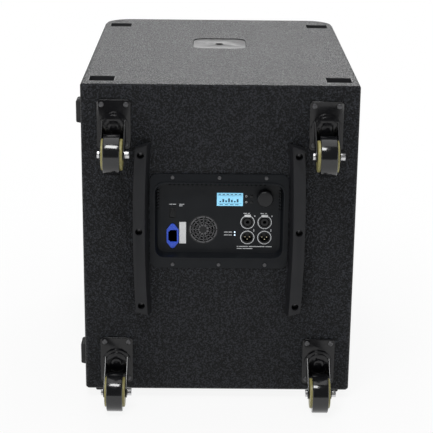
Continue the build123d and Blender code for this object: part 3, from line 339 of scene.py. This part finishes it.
def panel_ink(name):
    base = bpy.context.scene.sub_amplifier.print_ink
    finish = Finish(name, base, 0.5)
    return finish.mix_colour(finish.ramp(finish.noise(0.0008, 2.0), 0.35, 0.6, 0, 1), base,
                             [c * 0.8 for c in base])


def label_white(name):
    finish = Finish(name, (0.78, 0.79, 0.8), 0.45)
    return finish.bump(finish.noise(0.0015, 2.0), 0.00002, 0.4)


def led_light(name):
    finish = Finish(name, (0.75, 0.86, 1.0), 0.2, Emission_Color=(0.6, 0.8, 1.0, 1), Emission_Strength=1.2)
    return finish.bump(finish.noise(0.0008, 2.0), 0.00001, 0.3)


def contact_metal(name):
    finish = Finish(name, (0.66, 0.6, 0.42), 0.24, 1.0)
    return finish.rough(finish.ramp(finish.noise(0.0008, 2.0), 0.3, 0.7, 0.2, 0.36))


def plywood(name):
    finish = Finish(name, (0.47, 0.34, 0.2), 0.6)
    rings = finish.noise(0.02, 4.0, 0.6, place=finish.stretched((1, 1, 0.12)))
    finish.mix_colour(finish.ramp(rings, 0.35, 0.65, 0, 1), (0.5, 0.37, 0.22), (0.34, 0.23, 0.12))
    return finish.bump(rings, 0.0002, 0.4)


def open_foam(name):
    finish = Finish(name, (0.012, 0.012, 0.012), 0.95)
    finish.mix_colour(finish.ramp(finish.cells(0.0018), 0.1, 0.6, 0, 1), (0.004, 0.004, 0.004),
                      (0.028, 0.028, 0.029))
    return finish.bump(finish.cells(0.0018), 0.0008, 0.8)


def cone_paper(name):
    finish = Finish(name, (0.03, 0.03, 0.03), 0.85)
    return finish.bump(finish.noise(0.003, 4.0, 0.7), 0.0003, 0.7)


def ferrite(name):
    finish = Finish(name, (0.05, 0.05, 0.054), 0.5, 0.3)
    return finish.bump(finish.noise(0.002, 3.0), 0.0002, 0.5)


def board_green(name):
    finish = Finish(name, (0.012, 0.1, 0.035), 0.4)
    finish.mix_colour(finish.ramp(finish.cells(0.006), 0.2, 0.5, 0, 1), (0.02, 0.14, 0.05),
                      (0.01, 0.07, 0.025))
    return finish.bump(finish.cells(0.006), 0.0001, 0.4)


LOOKS = {
    "cabinet_paint": cabinet_paint, "plywood": plywood, "rubber": rubber, "black_plastic": moulding,
    "black_metal": black_coat, "zinc": black_steel, "amp_finish": amplifier_coat, "board": board_green,
    "display": screen_light, "inlet_blue": inlet_plastic, "contact": contact_metal,
    "socket_black": socket_black, "led": led_light, "magnet": ferrite, "paper": cone_paper,
    "surround": rubber, "foam": open_foam, "caster_steel": lacquer, "latch": label_white,
    "steel": zinc, "wheel_core": wheel_body, "tread": tread_rubber,
}


# ------------------------------------------------------------------ mesh helpers
def cad_mesh(*nodes):
    """The CAD nodes' triangles as one welded mesh with flat faces made whole."""
    welded = bmesh.new()
    for node in nodes:
        welded.from_mesh(NODES[node].data)
    bmesh.ops.remove_doubles(welded, verts=welded.verts, dist=2e-6)
    bmesh.ops.dissolve_limit(welded, angle_limit=math.radians(0.4), verts=welded.verts, edges=welded.edges)
    return welded


def piece_from(mesh, name, material):
    """A new object at the origin from a bmesh, or with an empty mesh otherwise."""
    data = bpy.data.meshes.new(name)
    if isinstance(mesh, bmesh.types.BMesh):
        mesh.to_mesh(data)
        mesh.free()
    piece = bpy.data.objects.new(name, data)
    bpy.context.scene.collection.objects.link(piece)
    data.materials.append(material)
    return piece


def settle(piece, smooth=30):
    """Bake the modifiers into the mesh, and shade it smooth up to that angle."""
    bpy.context.view_layer.update()
    graph = bpy.context.evaluated_depsgraph_get()
    baked = bpy.data.meshes.new_from_object(piece.evaluated_get(graph))
    piece.modifiers.clear()
    old, piece.data = piece.data, baked
    bpy.data.meshes.remove(old)
    baked.name = piece.name
    baked.shade_smooth()
    baked.set_sharp_from_angle(angle=math.radians(smooth))
    return piece


def round_edges(piece, width, segments=2, angle=32):
    bevel = piece.modifiers.new("edges", "BEVEL")
    bevel.width = width
    bevel.segments = segments
    bevel.limit_method = "ANGLE"
    bevel.angle_limit = math.radians(angle)
    bevel.miter_outer = "MITER_ARC"
    bevel.use_clamp_overlap = True
    return piece


def hand_over(piece, body, slot=None, replaces=()):
    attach(piece, body)
    if replaces:
        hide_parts(*replaces)
    return piece


def dress(node, edge, segments=2, smooth=30, look=None, angle=32):
    """Stand a welded copy with eased edges in for a CAD node."""
    slot = SLOTS[node]
    piece = piece_from(cad_mesh(node), f"{node}_piece", known(look or slot, LOOKS[look or slot]))
    round_edges(piece, edge, segments, angle)
    settle(piece, smooth)
    return hand_over(piece, BODY_OF[node], slot, [node])


def paint_node(node):
    """Leave a CAD node as it is and give it its finish."""
    data = NODES[node].data
    data.materials.clear()
    data.materials.append(known(SLOTS[node], LOOKS[SLOTS[node]]))


def flat_ring(mesh, x, z, y, outer, inner, sides=48, thick=0.00012):
    """A thin printed ring facing -Y."""
    loops = []
    for radius in (outer, inner):
        for depth in (y - thick, y):
            loops.append([mesh.verts.new((x + radius * math.cos(2 * math.pi * i / sides), depth,
                                          z + radius * math.sin(2 * math.pi * i / sides)))
                          for i in range(sides)])
    front_out, back_out, front_in, back_in = loops
    for i in range(sides):
        j = (i + 1) % sides
        for a, b in ((front_out, front_in), (back_out, front_out), (front_in, back_in)):
            mesh.faces.new((a[i], a[j], b[j], b[i]))


def flat_bar(mesh, x0, x1, z0, z1, y, thick=0.00012):
    """A thin printed bar facing -Y."""
    verts = [mesh.verts.new((x, depth, z)) for depth in (y - thick, y) for x in (x0, x1) for z in (z0, z1)]
    for a, b, c, d in ((0, 2, 3, 1), (0, 1, 5, 4), (1, 3, 7, 5), (3, 2, 6, 7), (2, 0, 4, 6)):
        mesh.faces.new((verts[a], verts[b], verts[c], verts[d]))


def outward(mesh):
    bmesh.ops.recalc_face_normals(mesh, faces=mesh.faces)
    return mesh


def lathe(profile, sides=48):
    """A turned mesh about +Y; each point is (radius, y)."""
    mesh = bmesh.new()
    verts = [mesh.verts.new((radius, y, 0)) for radius, y in profile]
    edges = [mesh.edges.new(pair) for pair in zip(verts, verts[1:])]
    bmesh.ops.spin(mesh, geom=verts + edges, cent=(0, 0, 0), axis=(0, 1, 0), dvec=(0, 0, 0),
                   angle=2 * math.pi, steps=sides, use_merge=True)
    bmesh.ops.remove_doubles(mesh, verts=mesh.verts, dist=1e-6)
    return outward(mesh)


# ------------------------------------------------------------------ repeated pieces
def repeat_tree(name):
    """Geometry nodes that put one shape on every point of a mesh."""
    tree = bpy.data.node_groups.new(name, "GeometryNodeTree")
    face = tree.interface
    face.new_socket("Points", in_out="INPUT", socket_type="NodeSocketGeometry")
    face.new_socket("Shape", in_out="INPUT", socket_type="NodeSocketObject")
    face.new_socket("Size", in_out="INPUT", socket_type="NodeSocketFloat").default_value = 1.0
    face.new_socket("Turn spread", in_out="INPUT", socket_type="NodeSocketFloat").default_value = 0.0
    face.new_socket("Material", in_out="INPUT", socket_type="NodeSocketMaterial")
    face.new_socket("Geometry", in_out="OUTPUT", socket_type="NodeSocketGeometry")
    add, link = tree.nodes.new, tree.links.new
    given, out = add("NodeGroupInput"), add("NodeGroupOutput")
    shape, put = add("GeometryNodeObjectInfo"), add("GeometryNodeInstanceOnPoints")
    real, paint = add("GeometryNodeRealizeInstances"), add("GeometryNodeSetMaterial")
    spread, turn = add("FunctionNodeRandomValue"), add("ShaderNodeCombineXYZ")
    rotation = add("FunctionNodeEulerToRotation")
    spread.data_type = "FLOAT"
    spread.inputs["Seed"].default_value = 7
    link(given.outputs["Shape"], shape.inputs["Object"])
    link(given.outputs["Points"], put.inputs["Points"])
    link(shape.outputs["Geometry"], put.inputs["Instance"])
    link(given.outputs["Size"], put.inputs["Scale"])
    link(given.outputs["Turn spread"], spread.inputs[3])
    link(spread.outputs[1], turn.inputs["Y"])
    link(turn.outputs["Vector"], rotation.inputs[0])
    link(rotation.outputs[0], put.inputs["Rotation"])
    link(put.outputs["Instances"], real.inputs["Geometry"])
    link(real.outputs["Geometry"], paint.inputs["Geometry"])
    link(given.outputs["Material"], paint.inputs["Material"])
    link(paint.outputs["Geometry"], out.inputs["Geometry"])
    return tree


def repeat(name, points, shape, material, body, slot=None, replaces=(), spread=0.0, smooth=30):
    """Put a shape on each point, and turn the result into one plain mesh on its body."""
    mesh = bpy.data.meshes.new(name)
    mesh.from_pydata([tuple(p) for p in points], [], [])
    piece = bpy.data.objects.new(name, mesh)
    bpy.context.scene.collection.objects.link(piece)
    tree = bpy.data.node_groups.get("put on points") or repeat_tree("put on points")
    modifier = piece.modifiers.new("repeat", "NODES")
    modifier.node_group = tree
    sockets = {item.name: item.identifier for item in tree.interface.items_tree if item.in_out == "INPUT"}
    modifier[sockets["Shape"]] = shape
    modifier[sockets["Size"]] = 1.0
    modifier[sockets["Turn spread"]] = spread
    modifier[sockets["Material"]] = material
    settle(piece, smooth)
    bpy.data.objects.remove(shape)
    return hand_over(piece, body, slot, replaces)


def shape_object(mesh, name="shape"):
    data = bpy.data.meshes.new(name)
    mesh.to_mesh(data)
    mesh.free()
    shape = bpy.data.objects.new(name, data)
    bpy.context.scene.collection.objects.link(shape)
    return shape


def cross_head(radius, height):
    """A pan head that rises towards -Y, with a cross recess."""
    profile = [(0, -height), (radius * 0.45, -height), (radius * 0.8, -height * 0.82),
               (radius, -height * 0.35), (radius, 0), (0, 0)]
    head = lathe(profile, 24)
    data = bpy.data.meshes.new("head")
    head.to_mesh(data)
    head.free()
    piece = bpy.data.objects.new("head", data)
    bpy.context.scene.collection.objects.link(piece)
    cutter = bmesh.new()
    for turn in (0, 90):
        made = bmesh.ops.create_cube(cutter, size=1)["verts"]
        bmesh.ops.scale(cutter, verts=made, vec=(radius * 1.15, height * 0.9, radius * 0.24))
        bmesh.ops.rotate(cutter, verts=made, cent=(0, 0, 0),
                         matrix=Matrix.Rotation(math.radians(turn), 3, "Y"))
        bmesh.ops.translate(cutter, verts=made, vec=(0, -height, 0))
    tool = shape_object(cutter, "cross")
    cut = piece.modifiers.new("cross", "BOOLEAN")
    cut.operation = "DIFFERENCE"
    cut.solver = "EXACT"
    cut.use_self = True
    cut.object = tool
    settle(piece, 40)
    bpy.data.objects.remove(tool)
    return piece


def middles(node):
    return [centre for centre, low, high in islands(node)]


def islands(node):
    """The middle of each separate solid of a CAD node, with its lowest and highest corner."""
    mesh = cad_mesh(node)
    left, found = set(mesh.verts), []
    while left:
        todo, group = [next(iter(left))], []
        left.discard(todo[0])
        while todo:
            vert = todo.pop()
            group.append(vert.co.copy())
            for edge in vert.link_edges:
                other = edge.other_vert(vert)
                if other in left:
                    left.discard(other)
                    todo.append(other)
        low = Vector([min(p[i] for p in group) for i in range(3)])
        high = Vector([max(p[i] for p in group) for i in range(3)])
        found.append(((low + high) / 2, low, high))
    mesh.free()
    return sorted(found, key=lambda item: [round(number, 5) for number in item[0]])


# ------------------------------------------------------------------ operators
class SUB_OT_cabinet(bpy.types.Operator):
    """Join the plywood walls into one painted cabinet with eased edges"""
    bl_idname = "sub.cabinet"
    bl_label = "Cabinet"

    def execute(self, context):
        scene = context.scene
        walls = ["top_panel", "bottom_panel", "left_panel", "right_panel", "rear_panel"]
        shell = piece_from(cad_mesh(walls[0]), "cabinet_shell", known("cabinet_paint", cabinet_paint))
        for wall in walls[1:]:
            other = shape_object(cad_mesh(wall), wall + "_copy")
            join = shell.modifiers.new(wall, "BOOLEAN")
            join.operation = "UNION"
            join.solver = "EXACT"
            join.object = other
            settle(shell)
            bpy.data.objects.remove(other)
        mesh = bmesh.new()
        mesh.from_mesh(shell.data)
        bmesh.ops.remove_doubles(mesh, verts=mesh.verts, dist=2e-6)
        bmesh.ops.dissolve_limit(mesh, angle_limit=math.radians(0.4), verts=mesh.verts, edges=mesh.edges)
        mesh.to_mesh(shell.data)
        mesh.free()
        round_edges(shell, scene.sub_cabinet.edge, 3)
        settle(shell, 12)
        hand_over(shell, "cabinet", "cabinet_paint", walls)
        return {"FINISHED"}


class SUB_OT_inside(bpy.types.Operator):
    """Finish the boards, driver and amplifier parts inside the cabinet"""
    bl_idname = "sub.inside"
    bl_label = "Inside"

    def execute(self, context):
        for node in ("inner_boards", "front_baffle", "amp_chassis", "circuit_board"):
            dress(node, 0.0005, 1)
        for node in ("woofer_frame", "woofer_magnet", "woofer_cone", "woofer_suspension"):
            dress(node, 0.0015, 2, smooth=40)
        return {"FINISHED"}


class SUB_OT_grille(bpy.types.Operator):
    """Finish the front grille"""
    bl_idname = "sub.grille"
    bl_label = "Grille"

    def execute(self, context):
        paint_node("grille")
        paint_node("grille_foam")
        return {"FINISHED"}


class SUB_OT_mouldings(bpy.types.Operator):
    """Finish the cups, handles, feet, pole sockets and rails"""
    bl_idname = "sub.mouldings"
    bl_label = "Mouldings"

    def execute(self, context):
        dress("stacking_cups", 0.0006)
        dress("handle_cups", 0.0012, 3)
        dress("handle_bars", 0.001, 2, smooth=40)
        dress("rubber_feet", 0.0025, 3)
        dress("pole_sockets", 0.0006, look="black_metal")
        for side in ("left", "right"):
            dress(f"{side}_rail", 0.0022, 3)
        return {"FINISHED"}


class SUB_OT_amplifier(bpy.types.Operator):
    """Finish the amplifier frame, its panel and the fan behind it"""
    bl_idname = "sub.amplifier"
    bl_label = "Amplifier"

    def execute(self, context):
        scene = context.scene
        dress("amp_frame", 0.0013, 3)
        dress("control_panel", 0.0002, 1)
        paint_node("fan_housing")
        paint_node("fan_rotor")
        dress("mains_inlet", 0.0005, 2)
        for node in ("input_jacks", "output_jacks", "switch_bezel"):
            dress(node, 0.0003, 1, smooth=40)
        dress("connector_pins", 0.0002, 1, smooth=50)
        for node in ("left_jack_latch", "right_jack_latch"):
            dress(node, 0.0004, 2)
        self.guard(scene.sub_amplifier.guard, middle("fan_rotor"))
        return {"FINISHED"}

    def guard(self, spokes, centre):
        """A plain finger guard with spokes, rings and a hub in the mouth of the fan."""
        guard, y = bmesh.new(), PANEL_FACE + GUARD_DEPTH
        for outer, inner in GUARD_RINGS:
            flat_ring(guard, centre.x, centre.z, y, outer, inner, 40, GUARD_THICK)
        for index in range(spokes):
            first = len(guard.verts)
            flat_bar(guard, *GUARD_SPOKE, y, GUARD_THICK)
            guard.verts.ensure_lookup_table()
            spoke = guard.verts[first:]
            bmesh.ops.rotate(guard, verts=spoke, cent=(0, 0, 0),
                             matrix=Matrix.Rotation(2 * math.pi * index / spokes, 3, "Y"))
            bmesh.ops.translate(guard, verts=spoke, vec=(centre.x, 0, centre.z))
        piece = piece_from(outward(guard), "fan_guard", known("zinc", black_steel))
        settle(piece)
        hand_over(piece, "cabinet", "socket_black")


class SUB_OT_controls(bpy.types.Operator):
    """Make the knob, buttons, rocker, display and status lights"""
    bl_idname = "sub.controls"
    bl_label = "Controls"

    def execute(self, context):
        dress("encoder_plunger", 0.0002, 1, smooth=50)
        dress("encoder_knob", 0.0005, 2, smooth=40)
        for node in ("menu_button_upper", "menu_button_lower", "power_rocker"):
            dress(node, 0.0004, 2)
        paint_node("display_lens")
        dress("status_leds", 0.0003, 2, smooth=60)
        return {"FINISHED"}


class SUB_OT_casters(bpy.types.Operator):
    """Finish the four swivel casters"""
    bl_idname = "sub.casters"
    bl_label = "Casters"

    def execute(self, context):
        scene = context.scene
        edge = scene.sub_caster.edge
        dress("caster_plates", edge, 2)
        for spot in SPOTS:
            dress(f"caster_fork_{spot}", edge, 2, smooth=35)
            dress(f"caster_axle_{spot}", edge * 0.6, 2, smooth=35)
            dress(f"caster_core_{spot}", edge * 1.6, 3, smooth=35)
            dress(f"caster_tread_{spot}", edge * 2.4, 3, smooth=60)
        return {"FINISHED"}


class SUB_OT_screws(bpy.types.Operator):
    """Put a cross head screw on every screw of the casters, rails and amplifier"""
    bl_idname = "sub.screws"
    bl_label = "Screws"

    def execute(self, context):
        for node in ("caster_screws", "rail_screws", "amp_screws"):
            found = islands(node)
            low, high = found[0][1], found[0][2]
            radius, height = (high.x - low.x) / 2, high.y - low.y
            points = [(m.x, h.y, m.z) for m, l, h in found]
            head = cross_head(radius, height)
            repeat(node + "_heads", points, head, known("zinc", black_steel), "cabinet", "zinc", [node],
                   spread=1.5, smooth=35)
        return {"FINISHED"}


class SUB_OT_print(bpy.types.Operator):
    """Print plain rings and bars on the control panel and marks on its display, and add its blank label"""
    bl_idname = "sub.print"
    bl_label = "Panel print"

    def execute(self, context):
        scene = context.scene
        settings = scene.sub_amplifier
        ink, y, line = bmesh.new(), PANEL_FACE - PRINT_LIFT, settings.line
        sockets = {node: middles(node) for node in ("input_jacks", "output_jacks")}
        for centre in sockets["input_jacks"] + sockets["output_jacks"]:
            flat_ring(ink, centre.x, centre.z, y, SOCKET_RING, SOCKET_RING - line)
        for centre in sockets["input_jacks"]:
            for x0, x1, z0, z1 in INPUT_MARKS:
                flat_bar(ink, centre.x + x0, centre.x + x1, centre.z + z0, centre.z + z1, y)
        low = min(centre.z for centre in sockets["output_jacks"])
        left = min(centre.x for centre in sockets["output_jacks"])
        for start, end, drop in OUTPUT_WORDS:
            flat_bar(ink, left + start, left + end, low - drop, low - drop + WORD_HEIGHT, y)
        for light in middles("status_leds"):
            for start, end in LIGHT_WORDS:
                flat_bar(ink, light.x + start, light.x + end, light.z - WORD_HEIGHT / 2,
                         light.z + WORD_HEIGHT / 2, y)
        for button in (middle("menu_button_upper"), middle("menu_button_lower")):
            flat_ring(ink, button.x - BUTTON_MARK_IN, button.z, y, *BUTTON_MARK, 16)
        rocker = middle("power_rocker")
        for start, end, up in SWITCH_WORDS:
            flat_bar(ink, rocker.x + start, rocker.x + end, rocker.z + up, rocker.z + up + SMALL_WORD, y)
        piece = piece_from(outward(ink), "panel_print", known("panel_ink", panel_ink))
        settle(piece)
        hand_over(piece, "cabinet", "latch")
        self.label(middle("mains_inlet"))
        self.screen()
        return {"FINISHED"}

    def label(self, inlet):
        """The blank white label beside the mains inlet."""
        mesh = bmesh.new()
        x0, x1, z0, z1 = LABEL
        flat_bar(mesh, inlet.x + x0, inlet.x + x1, inlet.z + z0, inlet.z + z1, PANEL_FACE, LABEL_THICK)
        piece = piece_from(outward(mesh), "blank_label", known("label_white", label_white))
        settle(piece)
        hand_over(piece, "cabinet", "latch")

    def screen(self):
        """Rows of plain marks and level bars on the lit display."""
        low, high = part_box("display_lens")
        wide, tall = high.x - low.x, high.z - low.z
        mesh = bmesh.new()
        for x0, x1, z0, z1 in SCREEN_MARKS:
            flat_bar(mesh, low.x + x0 * wide, low.x + x1 * wide, low.z + z0 * tall, low.z + z1 * tall,
                     low.y - PRINT_LIFT)
        piece = piece_from(outward(mesh), "screen_marks", known("screen_dark", screen_dark))
        settle(piece)
        hand_over(piece, "cabinet", "display")


class SUB_OT_stage(bpy.types.Operator):
    """Lay the floor, the soft studio lights and the camera"""
    bl_idname = "sub.stage"
    bl_label = "Stage"

    def softbox(self, scene, name, place, target, size, power, colour=(1, 1, 1)):
        data = bpy.data.lights.new(name, "AREA")
        data.shape = "RECTANGLE"
        data.size, data.size_y = size
        data.energy = power
        data.color = colour
        light = bpy.data.objects.new(name, data)
        light.location = place
        light.rotation_euler = (Vector(target) - Vector(place)).to_track_quat("-Z", "Y").to_euler()
        scene.collection.objects.link(light)

    def execute(self, context):
        scene = context.scene
        settings = scene.sub_stage
        mesh = bmesh.new()
        bmesh.ops.create_grid(mesh, x_segments=1, y_segments=1, size=12)
        floor = piece_from(mesh, "floor", self.floor_material(settings))
        self.world(scene)
        target = (0, -0.3, 0.3)
        self.softbox(scene, "key", (-0.3, -1.5, 2.4), target, (0.9, 0.6), settings.key)
        self.softbox(scene, "fill_left", (-2.4, -2.2, 1.0), target, (0.8, 1.6), settings.key * 0.5)
        self.softbox(scene, "fill_right", (2.4, -2.0, 1.0), target, (0.8, 1.6), settings.key * 0.35)
        self.softbox(scene, "back", (0.2, 1.9, 1.7), (0, 0.0, 0.6), (2.4, 1.0), settings.key * 1.6)
        self.softbox(scene, "top", (0, 0, 2.6), (0, 0, 0.5), (2.0, 2.0), settings.key * 0.5)
        data = bpy.data.cameras.new("camera")
        data.lens = settings.lens
        data.sensor_width = 36
        camera = bpy.data.objects.new("camera", data)
        camera.location = (settings.sideways, -settings.distance, settings.height)
        swing, tilt, roll = CAMERA_TURN
        turn = Matrix.Rotation(math.radians(swing), 4, "Z")
        turn = turn @ Matrix.Rotation(math.radians(90 - tilt), 4, "X")
        turn = turn @ Matrix.Rotation(math.radians(roll), 4, "Z")
        camera.rotation_euler = turn.to_euler()
        scene.collection.objects.link(camera)
        scene.camera = camera
        scene.view_settings.view_transform = "Standard"
        return {"FINISHED"}

    def floor_material(self, settings):
        material = bpy.data.materials.new("pale_floor")
        material.use_nodes = True
        tree = material.node_tree
        tree.nodes.remove(tree.nodes["Principled BSDF"])
        add, link = tree.nodes.new, tree.links.new
        out = tree.nodes["Material Output"]
        path, matte = add("ShaderNodeLightPath"), add("ShaderNodeBsdfDiffuse")
        glow = add("ShaderNodeEmission")
        either, share, mix = add("ShaderNodeMath"), add("ShaderNodeMath"), add("ShaderNodeMixShader")
        place, away, far = add("ShaderNodeTexCoord"), add("ShaderNodeVectorMath"), add("ShaderNodeMapRange")
        matte.inputs["Color"].default_value = (*settings.floor, 1)
        glow.inputs["Color"].default_value = (1, 1, 1, 1)
        glow.inputs["Strength"].default_value = 1.0
        either.operation = "MAXIMUM"
        share.operation = "MULTIPLY"
        away.operation = "LENGTH"
        for socket, number in zip(("From Min", "From Max", "To Min", "To Max"), FLOOR_FADE):
            far.inputs[socket].default_value = number
        link(place.outputs["Object"], away.inputs[0])
        link(away.outputs["Value"], far.inputs["Value"])
        link(far.outputs["Result"], share.inputs[1])
        link(path.outputs["Is Camera Ray"], either.inputs[0])
        link(path.outputs["Is Glossy Ray"], either.inputs[1])
        link(either.outputs[0], share.inputs[0])
        link(share.outputs[0], mix.inputs[0])
        link(matte.outputs[0], mix.inputs[1])
        link(glow.outputs[0], mix.inputs[2])
        link(mix.outputs[0], out.inputs["Surface"])
        return material

    def world(self, scene):
        world = bpy.data.worlds.new("studio")
        world.use_nodes = True
        scene.world = world
        tree = world.node_tree
        add, link = tree.nodes.new, tree.links.new
        back = tree.nodes["Background"]
        path, level = add("ShaderNodeLightPath"), add("ShaderNodeMapRange")
        back.inputs["Color"].default_value = (1, 1, 1, 1)
        level.inputs["To Min"].default_value = 0.12
        level.inputs["To Max"].default_value = 1.0
        link(path.outputs["Is Camera Ray"], level.inputs["Value"])
        link(level.outputs["Result"], back.inputs["Strength"])


class SUB_PT_panel(bpy.types.Panel):
    """Subwoofer settings and the buttons that build its pieces"""
    bl_idname = "SUB_PT_panel"
    bl_label = "Subwoofer"
    bl_space_type = "VIEW_3D"
    bl_region_type = "UI"
    bl_category = "Subwoofer"

    def draw(self, context):
        for group in (context.scene.sub_cabinet, context.scene.sub_amplifier, context.scene.sub_caster,
                      context.scene.sub_stage):
            box = self.layout.box()
            for name in group.__annotations__:
                box.prop(group, name)
        for operator in OPERATORS:
            self.layout.operator(operator.bl_idname)


GROUPS = {"sub_cabinet": CabinetSettings, "sub_amplifier": AmplifierSettings, "sub_caster": CasterSettings,
          "sub_stage": StageSettings}
OPERATORS = [SUB_OT_cabinet, SUB_OT_inside, SUB_OT_grille, SUB_OT_mouldings, SUB_OT_amplifier,
             SUB_OT_controls, SUB_OT_casters, SUB_OT_screws, SUB_OT_print, SUB_OT_stage]


def register():
    for cls in (*GROUPS.values(), *OPERATORS, SUB_PT_panel):
        bpy.utils.register_class(cls)
    for name, group in GROUPS.items():
        setattr(bpy.types.Scene, name, PointerProperty(type=group))


def unregister():
    for name in GROUPS:
        delattr(bpy.types.Scene, name)
    for cls in reversed((*GROUPS.values(), *OPERATORS, SUB_PT_panel)):
        bpy.utils.unregister_class(cls)


def main():
    register()
    for operator in OPERATORS:
        getattr(bpy.ops.sub, operator.bl_idname.split(".")[1])()
    bpy.context.view_layer.update()


if __name__ == "__main__":
    main()
